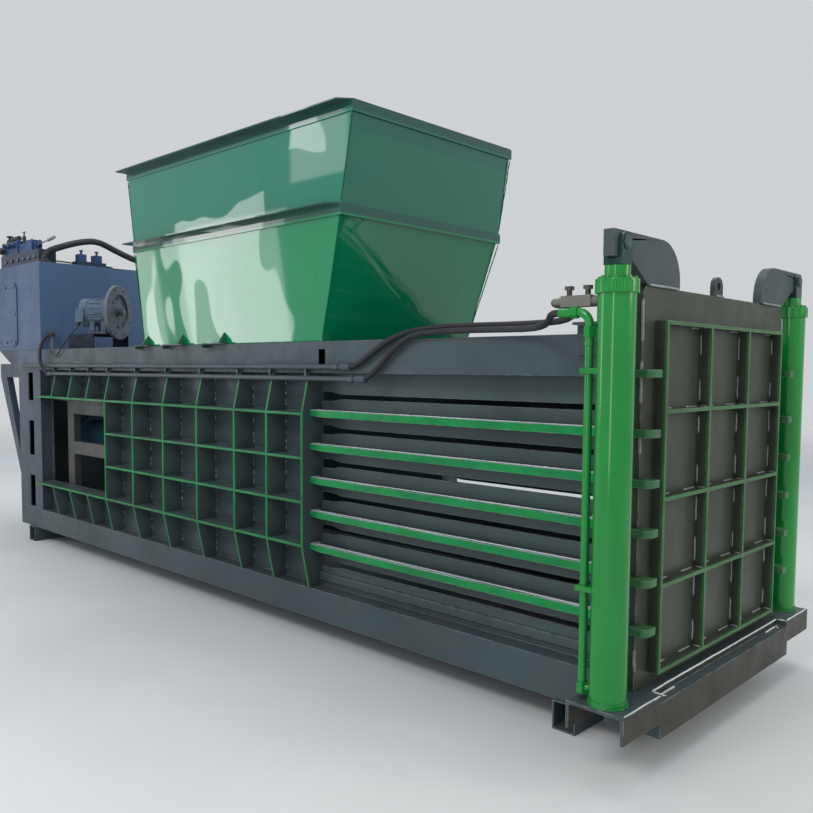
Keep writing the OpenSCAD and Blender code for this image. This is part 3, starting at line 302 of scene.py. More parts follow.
def green_where(axis, edge, green=(0.022, 0.225, 0.066), dark=(0.026, 0.150, 0.055)):
    """Paints the faces that look along an axis green, and a ragged band of their sides at the edge."""
    def add(s, color):
        facing = s.math("ABSOLUTE", s.normal(axis))
        broken = s.fit(s.noise(14, 4, 0.7), 0.24, 0.40)
        mask = s.math("MULTIPLY", s.fit(facing, 0.45, 0.55), broken)
        ragged = s.math("ADD", s.math("ABSOLUTE", s.axis(axis)), s.math("MULTIPLY", s.noise(30, 3), 0.022))
        band = s.fit(ragged, edge - 0.004, edge + 0.002)
        mask = s.math("MAXIMUM", mask, s.math("MULTIPLY", band, 0.85))
        tone = s.mix(s.fit(s.noise(3, 3), 0.35, 0.65), green, dark)
        return s.mix(mask, color, tone)
    return add


def bar_faces_and_highlight(s, color):
    """Green front face of a slat bar, and painted highlight streaks on the front half of its top."""
    color = green_where("Y", BAR_Y, (0.006, 0.250, 0.060), (0.008, 0.185, 0.050))(s, color)
    # painted highlight: pale streaks on the top faces near the front
    up = s.fit(s.normal("Z"), 0.6, 0.9)
    near = s.fit(s.math("ABSOLUTE", s.axis("Y")), BAR_Y - 0.062, BAR_Y - 0.012)
    streak = s.fit(s.noise(7, 5, 0.7, stretch=(0.35, 16, 1)), 0.40, 0.56)
    share = s.math("MULTIPLY", s.math("MULTIPLY", up, near), streak)
    return s.mix(s.math("MULTIPLY", share, 0.9), color, (0.70, 0.73, 0.76))


def by_height(level, above):
    """Another paint above a level of the piece."""
    def add(s, color):
        tone = s.mix(s.fit(s.noise(4, 3), 0.35, 0.65), above, tuple(0.7 * c for c in above))
        return s.mix(s.fit(s.axis("Z"), level - 0.002, level), color, tone)
    return add


def beam_front_shade(s, color):
    """Painted shade: a darker, warmer colour on the front face of the beam and its end caps."""
    facing = s.fit(s.normal("X"), 0.5, 0.8)
    return s.mix(facing, color, (0.045, 0.043, 0.034))


def tank_lit_face(s, color):
    """Painted light: a lighter blue on the face of the tank that looks at the hopper."""
    return s.mix(s.fit(s.normal("X"), 0.5, 0.8), color, (0.080, 0.133, 0.235))


def rear_tone(s, color):
    """Blue grey on the rear end of the deck boxes."""
    mask = s.fit(s.axis("X"), FACE_X - 5.84, FACE_X - 5.86)
    return s.mix(mask, color, (0.072, 0.100, 0.150))


def hopper_tones_and_shade(s, color):
    """Bluer upper tier and darker flange legs at the top of both tiers, with painted shade on the forward faces, a
    painted flange shadow along their top and painted shade on the downward faces.
    """
    height = s.axis("Z")
    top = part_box("hopper_upper")[1].z
    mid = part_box("hopper_lower")[1].z
    upper = s.fit(height, mid - 0.005, mid + 0.005)
    color = s.mix(upper, color, (0.001, 0.188, 0.116))
    leg = s.math("MAXIMUM", s.fit(height, top - 0.052, top - 0.048),
                 s.math("MULTIPLY", s.fit(height, mid - 0.052, mid - 0.048), s.fit(height, mid + 0.002, mid - 0.002)))
    # painted shade: faces that look forward are darkened
    facing = s.fit(s.math("ABSOLUTE", s.normal("X")), 0.5, 0.8)
    color = s.mix(s.math("MULTIPLY", facing, 0.42), color, (0.0, 0.085, 0.055))
    # painted shadow of the rim flange along the top of the forward faces
    band = s.math("MULTIPLY", facing, s.fit(height, top - 0.15, top - 0.13))
    color = s.mix(s.math("MULTIPLY", band, 0.35), color, (0.002, 0.085, 0.070))
    color = s.mix(s.math("MULTIPLY", leg, 0.80), color, (0.004, 0.052, 0.050))
    # painted shade: faces that look down are darkened
    return s.mix(s.fit(s.normal("Z"), -0.5, -0.9), color, (0.002, 0.060, 0.045))


def valve_tone(s, color):
    """Pale steel pipe between the dark bodies of the lock valves."""
    height = s.math("ABSOLUTE", s.math("SUBTRACT", s.axis("Z"), LOCK_VALVE_Z))
    return s.mix(s.fit(height, 0.0225, 0.0205), color, (0.19, 0.185, 0.16))


def clip_tone(s, color):
    """Green gussets of the hopper clips on grey base plates."""
    return s.mix(s.fit(s.axis("Z"), DECK_Z + 0.009, DECK_Z + 0.012), color, (0.045, 0.230, 0.105))


GREY = ((0.064, 0.088, 0.097), (0.048, 0.066, 0.073))
RIB_GREY = ((0.072, 0.103, 0.105), (0.056, 0.079, 0.081))
DOOR_GREY = ((0.057, 0.069, 0.049), (0.042, 0.051, 0.035))
BLUE_GREY = ((0.072, 0.112, 0.205), (0.056, 0.090, 0.168))


def make_paints():
    """One material for each slot of the record."""
    return {
        "frame_grey": paint("frame_paint", *GREY, edge_wear_and_highlight=(0.27, 0.28, 0.27), wave=0.004),
        "rib_green_edge": paint("rib_paint", *RIB_GREY, extra=green_where("Y", RIB_Y), wave=0.003),
        "slat_grey": paint("slat_paint", (0.066, 0.092, 0.092), (0.050, 0.069, 0.070), rough=(0.24, 0.40),
                           edge_wear_and_highlight=(0.24, 0.25, 0.24), wave=0.003),
        "rear_blue_grey": paint("rear_paint", *BLUE_GREY, wave=0.004, spec=0.25),
        "claw_green": paint("claw_paint", (0.050, 0.190, 0.066), (0.044, 0.130, 0.055), edge_wear_and_highlight=(0.20, 0.26, 0.19)),
        "hopper_green": paint("hopper_paint", (0.001, 0.245, 0.092), (0.001, 0.205, 0.080), rough=(0.02, 0.035),
                              grime_and_bounce_share=0.03, peel=0.0, wave=0.075, wave_size=0.75, coat=0.55, dusty=0.02,
                              extra=hopper_tones_and_shade, spec=0.45),
        "clip_black": paint("black_paint", (0.022, 0.026, 0.030), (0.032, 0.036, 0.040)),
        "bolt_steel": paint("bolt_finish", (0.22, 0.23, 0.23), (0.15, 0.15, 0.15), rough=(0.25, 0.4), metallic=0.4),
        "valve_blue": paint("valve_paint", (0.030, 0.085, 0.230), (0.026, 0.060, 0.150)),
        "hose_rubber": paint("hose_cover", (0.027, 0.027, 0.031), (0.040, 0.039, 0.044), rough=(0.42, 0.6),
                             grime_and_bounce_share=0.10, dusty=0.04),
        "cable_black": paint("cable_cover", (0.028, 0.028, 0.030), (0.045, 0.045, 0.046), rough=(0.4, 0.6)),
        "motor_grey": paint("motor_paint", (0.125, 0.172, 0.240), (0.092, 0.128, 0.180), edge_wear_and_highlight=(0.30, 0.34, 0.38)),
        "cylinder_green": paint("cylinder_paint", (0.004, 0.262, 0.034), (0.004, 0.205, 0.030), rough=(0.10, 0.18),
                                grime_and_bounce_share=0.10, peel=0.0003, wave=0.002, coat=0.25, dusty=0.05, spec=0.40),
        "main_cylinder_blue": paint("main_cylinder_paint", (0.05, 0.14, 0.22), (0.04, 0.10, 0.16)),
        "pipe_grey": paint("pipe_paint", (0.075, 0.092, 0.105), (0.055, 0.068, 0.078), rough=(0.26, 0.40)),
        "blade_steel": paint("blade_finish", (0.28, 0.28, 0.27), (0.18, 0.17, 0.16)),
        "door_grey": paint("door_paint", *DOOR_GREY, edge_wear_and_highlight=(0.30, 0.31, 0.29), wave=0.003, rough=(0.28, 0.42)),
        "rod_chrome": paint("rod_finish", (0.42, 0.44, 0.45), (0.36, 0.38, 0.38), rough=(0.12, 0.2), grime_and_bounce_share=0.1,
                            extra=by_height(GLAND_TOP, (0.026, 0.075, 0.066)), metallic=0.3),
        "pin_steel": paint("pin_finish", (0.070, 0.105, 0.100), (0.05, 0.08, 0.075)),
        "ram_grey": paint("ram_paint", (0.052, 0.060, 0.064), (0.080, 0.074, 0.064), edge_wear_and_highlight=(0.20, 0.19, 0.17)),
    }


def own_paints():
    """Materials of the nodes that differ from the rest of their slot."""
    return {
        "door_stiffeners": paint("stiffener_paint", *DOOR_GREY, edge_wear_and_highlight=(0.20, 0.26, 0.19),
                                 extra=green_where("X", FACE_X, (0.048, 0.180, 0.055), (0.050, 0.130, 0.050))),
        "slat_bars": paint("bar_paint", (0.052, 0.068, 0.070), (0.040, 0.052, 0.054), rough=(0.20, 0.36),
                           extra=bar_faces_and_highlight, edge_wear_and_highlight=(0.34, 0.36, 0.35), dusty=0.0, grime_and_bounce_share=0.08),
        "lift_arms": paint("arm_paint", (0.062, 0.084, 0.086), (0.050, 0.068, 0.070), edge_wear_and_highlight=(0.20, 0.22, 0.22),
                           wave=0.002),
        "lifting_eye": paint("eye_paint", (0.045, 0.055, 0.055), (0.035, 0.042, 0.042), edge_wear_and_highlight=(0.20, 0.22, 0.22)),
        "deck_boxes": paint("box_paint", *GREY, extra=rear_tone, edge_wear_and_highlight=(0.27, 0.28, 0.27), wave=0.004),
        "front_beam": paint("beam_paint", *GREY, extra=beam_front_shade, edge_wear_and_highlight=(0.30, 0.31, 0.29), wave=0.004),
        "guide_posts": paint("post_paint", (0.084, 0.112, 0.086), (0.064, 0.086, 0.066), edge_wear_and_highlight=(0.30, 0.31, 0.29),
                             wave=0.003),
        "oil_tank": paint("tank_paint", *BLUE_GREY, extra=tank_lit_face, wave=0.004, spec=0.25),
        "rear_columns": paint("column_paint", (0.062, 0.080, 0.106), (0.050, 0.064, 0.084), edge_wear_and_highlight=(0.20, 0.22, 0.24),
                              wave=0.004),
        "tank_brackets": paint("bracket_paint", (0.058, 0.076, 0.104), (0.046, 0.060, 0.082), wave=0.003),
        "hopper_straps": paint("strap_paint", *GREY, extra=clip_tone, edge_wear_and_highlight=(0.24, 0.26, 0.25)),
        "pipe_clips": paint("saddle_paint", *GREY, edge_wear_and_highlight=(0.30, 0.31, 0.30)),
        "lock_valves": paint("lock_paint", (0.085, 0.080, 0.066), (0.060, 0.056, 0.048), extra=valve_tone,
                             rough=(0.25, 0.4), edge_wear_and_highlight=(0.28, 0.27, 0.24), metallic=0.25),
        "valve_manifold": paint("manifold_paint", (0.034, 0.052, 0.088), (0.028, 0.040, 0.066),
                                edge_wear_and_highlight=(0.14, 0.16, 0.20)),
        "motor_flange": paint("flange_paint", (0.165, 0.195, 0.235), (0.130, 0.152, 0.185), edge_wear_and_highlight=(0.30, 0.33, 0.36)),
        # painted shade: the stand is made near black and matte for the shadow it sits in
        "motor_stand": paint("stand_shade_paint", (0.022, 0.032, 0.046), (0.017, 0.025, 0.036), rough=(0.6, 0.8),
                             grime_and_bounce_share=0.1, dusty=0.0, spec=0.06),
    }


SOFT_NODES = ("pressure_hoses", "suction_hose", "motor_cable")


def dress(node, material):
    """Gives a CAD node its material and small rounded edges."""
    piece = nodes[node]
    piece.data.materials.clear()
    piece.data.materials.append(material)
    for face in piece.data.polygons:
        face.use_smooth = True
    weld = piece.modifiers.new("weld", "WELD")
    weld.merge_threshold = 0.00005
    if node not in SOFT_NODES:
        round_off = piece.modifiers.new("round", "BEVEL")
        round_off.width = 0.0025
        round_off.segments = 2
        round_off.limit_method = "ANGLE"
        round_off.angle_limit = math.radians(32)
        round_off.harden_normals = True
    even = piece.modifiers.new("even", "WEIGHTED_NORMAL")
    even.keep_sharp = True


def dress_all(paints):
    """Each node gets a paint of its own, or else the paint of its slot."""
    own = own_paints()
    for part in frame["record"]["subparts"]:
        name = part["node"]
        dress(name, own.get(name, paints[part["material_slot"]]))


def make_floor():
    """Pale floor that fades into the background colour away from the machine."""
    mesh = bmesh.new()
    bmesh.ops.create_grid(mesh, x_segments=2, y_segments=2, size=150)
    data = bpy.data.meshes.new("floor")
    mesh.to_mesh(data)
    mesh.free()
    floor = bpy.data.objects.new("floor", data)
    s = Shader("floor_paint")
    tone = s.mix(s.fit(s.noise(0.6, 4), 0.3, 0.7), (0.74, 0.735, 0.72), (0.69, 0.685, 0.67))
    far = s.node("VectorMath", Vector=s.coords.outputs["Object"])
    far.operation = "LENGTH"
    glow = s.fit(far.outputs["Value"], 7.0, 22.0)
    tone = s.mix(glow, tone, (0.0, 0.0, 0.0))
    s.wire(glow, s.bsdf.inputs["Emission Strength"])
    data.materials.append(s.finish(tone, 0.75, s.bump(s.noise(60, 3), 0.001, 0.3), Specular_IOR_Level=0.0,
                                   Emission_Color=PALE))
    bpy.context.scene.collection.objects.link(floor)


def place_mesh(name, mesh, material, body="root"):
    """Makes a piece of a finished mesh and lets it ride on a body."""
    bmesh.ops.recalc_face_normals(mesh, faces=mesh.faces)
    data = bpy.data.meshes.new(name)
    mesh.to_mesh(data)
    mesh.free()
    for face in data.polygons:
        face.use_smooth = True
    data.materials.append(material)
    piece = bpy.data.objects.new(name, data)
    bpy.context.scene.collection.objects.link(piece)
    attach(piece, body)
    return piece


def rings_to_faces(mesh, rings):
    """Closed skin over a row of rings of vertices."""
    for first, second in zip(rings, rings[1:]):
        for k in range(len(first)):
            after = (k + 1) % len(first)
            mesh.faces.new((first[k], first[after], second[after], second[k]))
    mesh.faces.new(rings[0][::-1])
    mesh.faces.new(rings[-1])


def circle(mesh, centre, side, other, radius, count):
    """A ring of vertices round a centre."""
    angles = [k * math.tau / count for k in range(count)]
    return [mesh.verts.new(centre + radius * (math.cos(a) * side + math.sin(a) * other)) for a in angles]


def closed(count):
    """Angles of a whole turn, with the first place again at the end."""
    return [math.tau * i / count for i in range(count + 1)]


def bead(mesh, points, radius, step):
    """One lumpy weld bead along a line of points."""
    points = [Vector(p) for p in points]
    lengths = [(b - a).length for a, b in zip(points, points[1:])]
    total = sum(lengths)
    count = max(3, int(total / step))
    rings = []
    for i in range(count + 1):
        at = total * i / count
        k = 0
        while k < len(lengths) - 1 and at > lengths[k]:
            at -= lengths[k]
            k += 1
        along = (points[k + 1] - points[k]).normalized()
        centre = points[k] + along * at
        side = along.orthogonal().normalized() if not rings else (side - along * side.dot(along)).normalized()
        other = along.cross(side)
        lump = 0.72 + 0.25 * abs(math.sin(1.9 * i)) + 0.22 * noise.noise(centre * 31)
        drift = Vector((noise.noise(centre * 17), noise.noise(centre * 19 + Vector((5, 1, 2))), 0))
        centre = centre + 0.35 * radius * drift
        taper = 0.35 if i in (0, count) else 1.0
        rings.append(circle(mesh, centre, side, other, radius * lump * taper, 6))
    rings_to_faces(mesh, rings)


def beads(name, lines, radius, material, body="root", step=0.013):
    """Weld beads along many lines, as one piece."""
    mesh = bmesh.new()
    for line in lines:
        bead(mesh, line, radius, step)
    return place_mesh(name, mesh, material, body)


def both_sides(lines):
    """The lines, and the same lines on the far side."""
    return lines + [[(p[0], -p[1], p[2]) for p in line] for line in lines]


def stitches(start, end, share):
    """Two stitches of weld, one at each end of a line, each reaching in by a share of it."""
    start, end = Vector(start), Vector(end)
    near = 0.02 / (end - start).length
    return [(start.lerp(end, near), start.lerp(end, share)), (start.lerp(end, 1 - share), start.lerp(end, 1 - near))]


def door_beads(material):
    """Stitch welds in the corners of every door cell, and seams along the door's edges."""
    low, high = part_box("door_stiffeners")
    panel_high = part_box("door_panel")[1]
    thick = STIFFENER_T
    x = panel_high.x + 0.001
    rows = [low.z + thick / 2 + i * (high.z - low.z - thick) / 4 for i in range(5)]
    columns = [low.y + thick / 2 + i * (high.y - low.y - thick) / 3 for i in range(4)]
    lines = []
    for i, y in enumerate(columns):
        for side in (-1, 1):
            if (i == 0 and side < 0) or (i == 3 and side > 0):
                continue
            for k, (z0, z1) in enumerate(zip(rows, rows[1:])):
                at = y + side * (thick / 2 + 0.001)
                lines += stitches((x, at, z0 + thick / 2), (x, at, z1 - thick / 2), 0.30 + 0.05 * ((i + k) % 3))
                root = z0 + thick / 2 + 0.001
                lines.append(((high.x - 0.006, at, root), (x, at, root)))
    for k, z in enumerate(rows[:4]):
        for y0, y1 in zip(columns, columns[1:]):
            root = z + thick / 2 + 0.001
            lines += stitches((x, y0 + thick / 2, root), (x, y1 - thick / 2, root), 0.34)
            lines += stitches((x, y0 + thick / 2, rows[k + 1] - thick / 2 - 0.001),
                              (x, y1 - thick / 2, rows[k + 1] - thick / 2 - 0.001), 0.25)
    beads("door_cell_welds", lines, 0.0055, material, "door")
    top = panel_high.z
    edge = panel_high.y - 0.03
    arm_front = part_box("lift_arms")[1].x
    lines = []
    for sign in (-1, 1):
        lines.append(((arm_front + 0.001, sign * 0.455, top + 0.002), (arm_front + 0.001, sign * edge, top + 0.002)))
        side = sign * (panel_high.y - 0.001)
        lines += stitches((panel_high.x - 0.001, side, 1.46), (panel_high.x - 0.001, side, top - 0.034), 0.42)
        lines += stitches((panel_high.x - 0.001, side, low.z), (panel_high.x - 0.001, side, 1.40), 0.12)
    lines.append(((panel_high.x + 0.002, -0.078, top + 0.002), (panel_high.x + 0.002, 0.008, top + 0.002)))
    beads("door_top_welds", lines, 0.0065, material, "door")


def rib_places():
    """X of the long ribs, and of the short ribs behind them, from the front."""
    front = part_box("ribs_far")[1].x - RIB_HALF
    third = front - 2 * FRONT_PITCH
    columns = [front, front - FRONT_PITCH, third] + [third - RIB_PITCH * i for i in range(1, 5)]
    return columns, [columns[-1] - SHORT_PITCH * i for i in range(1, 4)]


def rib_beads(material, bright, shiny):
    """Welds of the ribs and of the slat bars to the chamber walls on both sides."""
    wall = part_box("ram_wall_far")[1].y
    columns, short = rib_places()
    rows = RIB_ROWS
    lines = []
    for x in columns:
        for side in (-1, 1):
            if x == columns[0] and side > 0:
                continue
            at = x + side * 0.009
            for z0, z1 in zip(rows, rows[1:]):
                lines += stitches((at, wall + 0.001, z0 + 0.01), (at, wall + 0.001, z1 - 0.01), 0.36)
    for x in short:
        for z0, z1 in ((rows[0], rows[1]), (rows[4], rows[5])):
            lines += stitches((x + 0.009, wall + 0.001, z0 + 0.02), (x + 0.009, wall + 0.001, z1 - 0.02), 0.4)
    for z in rows[1:5]:
        for x0, x1 in zip(columns[1:], columns):
            lines += stitches((x0 + 0.01, wall + 0.001, z + 0.009), (x1 - 0.01, wall + 0.001, z + 0.009), 0.34)
    beads("rib_welds", both_sides(lines), 0.0045, material, step=0.016)
    dots = []
    for x in columns[1:]:
        for z0, z1 in zip(rows, rows[1:]):
            at = z0 + random.uniform(0.02, 0.05)
            while at < z1 - 0.04:
                end = at + random.uniform(0.010, 0.030)
                dots.append(((x + 0.0095, wall + 0.0015, at), (x + 0.0095, wall + 0.0015, end)))
                at += random.uniform(0.045, 0.085)
    beads("rib_dots", both_sides(dots), 0.0042, bright, step=0.009)
    bars = []
    front, seam_y = columns[0], BAR_Y - 0.030
    for i in range(5):
        z = BAR_FOOT + ROW_PITCH * i
        bars.append(((front + 0.0095, BAR_Y - 0.005, z + 0.019), (front + 0.0095, wall + 0.004, z + 0.019)))
        bars.append(((front + 0.03, seam_y, z + 0.0195), (POST_LOW.x - 0.01, seam_y, z + 0.0195)))
    beads("bar_welds", both_sides(bars), 0.0038, shiny, step=0.020)


def frame_beads(material, bright):
    """Long seams of the rails, deck boxes, guide posts, columns and the front beam."""
    beam_low, beam_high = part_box("front_beam")
    rear_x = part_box("base_frame")[0].x
    column = rear_x + 0.48
    seam_z, post_x = RAIL_TOP + 0.001, POST_LOW.x - 0.001
    lines = [
        ((rear_x + 0.5, WALL_Y + 0.001, seam_z), (POST_LOW.x, WALL_Y + 0.001, seam_z)),
        ((rear_x + 0.01, RAIL_Y + 0.001, CHAMBER_TOP), (column, RAIL_Y + 0.001, CHAMBER_TOP)),
        ((rear_x + 0.01, RAIL_Y - 0.002, seam_z), (column, RAIL_Y - 0.002, seam_z)),
        ((column + 0.001, RAIL_Y - 0.004, RAIL_TOP + 0.02), (column + 0.001, RAIL_Y - 0.004, 1.57)),
        ((post_x, RAIL_Y - 0.03, CHAMBER_TOP), (post_x, WALL_Y, CHAMBER_TOP)),
        ((post_x, RIB_Y - 0.004, RAIL_TOP + 0.02), (post_x, RIB_Y - 0.004, 0.52)),
        ((beam_low.x + 0.02, RAIL_Y + 0.001, seam_z), (beam_low.x + 0.02, RAIL_Y - 0.09, seam_z)),
        ((rear_x + 0.01, RAIL_Y + 0.001, DECK_Z - 0.001), (rear_x + 0.40, RAIL_Y + 0.001, DECK_Z - 0.001)),
    ]
    beads("frame_welds", both_sides(lines), 0.0045, material)
    edge_x, ledge_z = beam_high.x - 0.0055, RAIL_TOP - 0.026
    front = [((FACE_X + 0.001, -0.685, seam_z), (FACE_X + 0.001, 0.685, seam_z))]
    for sign in (-1, 1):
        side = sign * LEDGE_Y
        front.append(((FACE_X + 0.002, sign * 0.66, RAIL_TOP - 0.024), (FACE_X + 0.034, sign * 0.62, ledge_z)))
        front.append(((FACE_X + 0.012, sign * 0.50, ledge_z), (FACE_X + 0.012, sign * 0.64, ledge_z)))
        front.append(((FACE_X + 0.004, side, seam_z), (beam_high.x - 0.006, side, seam_z)))
        front += stitches((edge_x, side, RAIL_TOP - 0.006), (edge_x, side, 0.15), 0.40)
        front.append(((edge_x, sign * 0.70, RAIL_TOP - 0.001), (edge_x, sign * 0.995, RAIL_TOP - 0.001)))
    beads("beam_welds", front, 0.0050, bright)


def lift_feet(green):
    """Weld rings round the feet of the lift cylinders."""
    mesh = bmesh.new()
    for y in (-LIFT_Y, LIFT_Y):
        for radius, size, height in ((0.0765, 0.0062, 0.002), (0.0735, 0.004, 0.021)):
            z = RAIL_TOP + height
            ring = [(LIFT_X + radius * math.cos(a), y + radius * math.sin(a), z) for a in closed(40)]
            bead(mesh, ring, size, 0.011)
    place_mesh("lift_foot_welds", mesh, green)


def claw_beads(material, bright):
    """Welds above and below every claw on its guide post."""
    lines, tips = [], []
    for i in range(6):
        z = CLAW_FOOT + ROW_PITCH * i + (TOP_CLAW_LIFT if i == 5 else 0)
        for side in (-1, 1):
            at = z + side * 0.0165
            lines.append(((POST_LOW.x + 0.045, RIB_Y + 0.001, at), (POST_HIGH.x - 0.005, RIB_Y + 0.001, at)))
        tips.append(((POST_HIGH.x - 0.001, RIB_Y - 0.002, z + 0.017), (POST_HIGH.x - 0.03, RIB_Y + 0.002, z + 0.017)))
    beads("claw_welds", both_sides(lines), 0.005, material)
    beads("claw_tacks", both_sides(tips), 0.005, bright)


def hopper_beads(material):
    """Corner seams of both hopper tiers and the welds of its foot."""
    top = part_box("hopper_upper")[1].z
    foot = ((-4.117, -2.102), 0.640, DECK_Z)
    mid = ((-4.145, -1.875), 0.700, DECK_Z + 0.746)
    rim = ((-4.234, -1.787), 0.695, top)
    lines = []
    for (xa, ya, za), (xb, yb, zb) in ((foot, mid), (mid, rim)):
        for i in (0, 1):
            lines.append(((FACE_X + xa[i], ya, za + 0.01), (FACE_X + xb[i], yb, zb - 0.070)))
    lines.append(((FACE_X - 4.097, 0.642, DECK_Z + 0.002), (FACE_X - 2.122, 0.642, DECK_Z + 0.002)))
    beads("hopper_seams", both_sides(lines), 0.004, material, step=0.02)
    lines = [((FACE_X - 2.100, -0.62, DECK_Z + 0.002), (FACE_X - 2.100, 0.62, DECK_Z + 0.002))]
    beads("hopper_front_seam", lines, 0.004, material, step=0.02)


def wall_strips(material):
    """Flat bars along the foot of both chamber walls."""
    mesh = bmesh.new()
    x0, x1 = rib_places()[0][0] + 0.0085, POST_LOW.x - 0.0005
    for sign in (-1, 1):
        outline = [(0, 0.350), (0.011, 0.350), (0.013, 0.353), (0.013, 0.391), (0.010, 0.395), (0, 0.395)]
        ends = [[mesh.verts.new((x, sign * (WALL_Y + y), z)) for y, z in outline] for x in (x0, x1)]
        rings_to_faces(mesh, ends)
    piece = place_mesh("wall_strips", mesh, material)
    for face in piece.data.polygons:
        face.use_smooth = False


def turned(mesh, place, axis, profile, sides=20):
    """Adds a closed turned body: profile is (distance along axis, radius)."""
    axis = Vector(axis).normalized()
    side = axis.orthogonal().normalized()
    other = axis.cross(side)
    place = Vector(place)
    rings = [circle(mesh, place + along * axis, side, other, radius, sides) for along, radius in profile]
    rings_to_faces(mesh, rings)


def tube(mesh, points, radius, sides=12):
    """Round tube along points, with its ring carried on without twist."""
    rings = []
    side = None
    for i, point in enumerate(points):
        along = (points[min(i + 1, len(points) - 1)] - points[max(i - 1, 0)]).normalized()
        side = along.orthogonal() if side is None else side - along * side.dot(along)
        side = side.normalized()
        rings.append(circle(mesh, point, side, along.cross(side), radius, sides))
    rings_to_faces(mesh, rings)


def smooth(points, steps):
    """Catmull-Rom curve through points."""
    points = [Vector(p) for p in points]
    out = []
    for i in range(len(points) - 1):
        a, b = points[max(i - 1, 0)], points[i]
        c, d = points[i + 1], points[min(i + 2, len(points) - 1)]
        square, cube = 2 * a - 5 * b + 4 * c - d, 3 * b - a - 3 * c + d
        for k in range(steps):
            t = k / steps
            out.append(0.5 * (2 * b + (c - a) * t + square * t * t + cube * t ** 3))
    return out + [points[-1]]


def from_deck(x, out, up):
    """Point given as X from the door face, out from the near rail and up from the deck, in millimetres."""
    return Vector((FACE_X + x / 1000, -RAIL_Y + out / 1000, DECK_Z + up / 1000))


def motor_lead(material, gland_material):
    """The motor's lead: out of the terminal box, in a loop over the deck edge and into a bent fitting."""
    route = [
        (-5257, 29, 223), (-5257, 29, 209), (-5265, 23, 188), (-5292, 7, 153), (-5352, -7, 107), (-5430, -15, 59),
        (-5500, -21, 3), (-5560, -21, -42), (-5620, -21, -62), (-5680, -21, -45), (-5720, -19, 3),
        (-5745, -9, 68), (-5756, 0, 100), (-5761, 5, 116),
    ]
    path = smooth([from_deck(*p) for p in route], 4)
    mesh = bmesh.new()
    tube(mesh, path, 0.006)
    lead = place_mesh("motor_lead", mesh, material)
    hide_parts("motor_cable")
    mesh = bmesh.new()
    turned(mesh, path[0], (0, 0, -1),
           [(-0.001, 0.013), (0.008, 0.013), (0.009, 0.0115), (0.018, 0.0115), (0.034, 0.0072)])
    bend = [
        (-5758, 3, 106), (-5761, 5, 116), (-5766, 10, 130), (-5775, 17, 138), (-5784, 23, 136),
        (-5790, 27, 126), (-5790, 27, 110),
    ]
    tube(mesh, smooth([from_deck(*p) for p in bend], 3), 0.0090)
    place_mesh("lead_fittings", mesh, gland_material)


def hose_fittings(material):
    """Crimped ferrules where hoses meet the long pipes, and sleeves where the rear hoses enter the tank."""
    crimps = [(-0.012, 0.019), (0.0, 0.0215)]
    for i in range(5):
        crimps += [(0.004 + 0.011 * i, 0.0215), (0.007 + 0.011 * i, 0.0200)]
    crimps += [(0.062, 0.0215), (0.066, 0.017)]
    sleeve = [
        (-0.014, 0.030), (0.0, 0.030), (0.003, 0.0235), (0.020, 0.0235), (0.022, 0.0205), (0.045, 0.0205),
        (0.048, 0.016),
    ]
    mesh = bmesh.new()
    for side in (-1, 1):
        for x, z, forward in ((-1.895, 1.622, 1), (-1.772, 1.555, 1), (-5.713, 1.555, -1)):
            turned(mesh, (FACE_X + x, side * PIPE_Y, z), (forward, 0, 0), crimps)
        turned(mesh, (FACE_X - 5.945, side * 0.560, DECK_Z + 0.145), (1, 0, 0), sleeve, 18)
    place_mesh("hose_ferrules", mesh, material)


def hex_head(mesh, place, axis, across, height):
    """Hexagon head with a chamfered top."""
    r = across / math.sqrt(3)
    turned(mesh, place, axis, [(0, r), (height * 0.8, r), (height, r * 0.88)], 6)


def motor_parts(material, steel):
    """Lifting eyes, bolts and fan grille of the motor, in the motor's own axes."""
    def at(x, y, z):
        return MOTOR_PLACE + MOTOR_TURN @ Vector((x, y, z))

    mesh = bmesh.new()
    for x in (-0.060, -0.105):
        turned(mesh, at(x, 0, 0.118), (0, 0, 1), [(0, 0.011), (0.010, 0.011), (0.012, 0.006), (0.020, 0.006)], 12)
        ring = [at(x, 0.013 * math.cos(a), 0.148 + 0.013 * math.sin(a)) for a in closed(20)]
        tube(mesh, ring, 0.0042, 8)
    place_mesh("motor_eyes", mesh, steel)
    mesh = bmesh.new()
    ahead = MOTOR_TURN @ Vector((1, 0, 0))
    for i in range(8):
        a = math.radians(45 * i)
        hex_head(mesh, at(-0.018, 0.118 * math.cos(a), 0.118 * math.sin(a)), ahead, 0.017, 0.009)
    for y in (-0.0904, 0.0904):
        for x in (-0.215, -0.105):
            hex_head(mesh, at(x, y, -0.165), (0, 0, 1), 0.015, 0.009)
    place_mesh("motor_bolts", mesh, steel)
    mesh = bmesh.new()
    cowl_x = -0.324  # rear face of the fan cowl
    for radius in (0.030, 0.048, 0.066, 0.084):
        ring = [at(cowl_x - 0.0012, radius * math.cos(a), radius * math.sin(a)) for a in closed(40)]
        tube(mesh, ring, 0.0028, 8)
    for i in range(6):
        a = math.radians(60 * i)
        spoke = [at(cowl_x - 0.0015, r * math.cos(a), r * math.sin(a)) for r in (0.020, 0.050, 0.092)]
        tube(mesh, spoke, 0.0032, 8)
    place_mesh("cowl_grille", mesh, material)


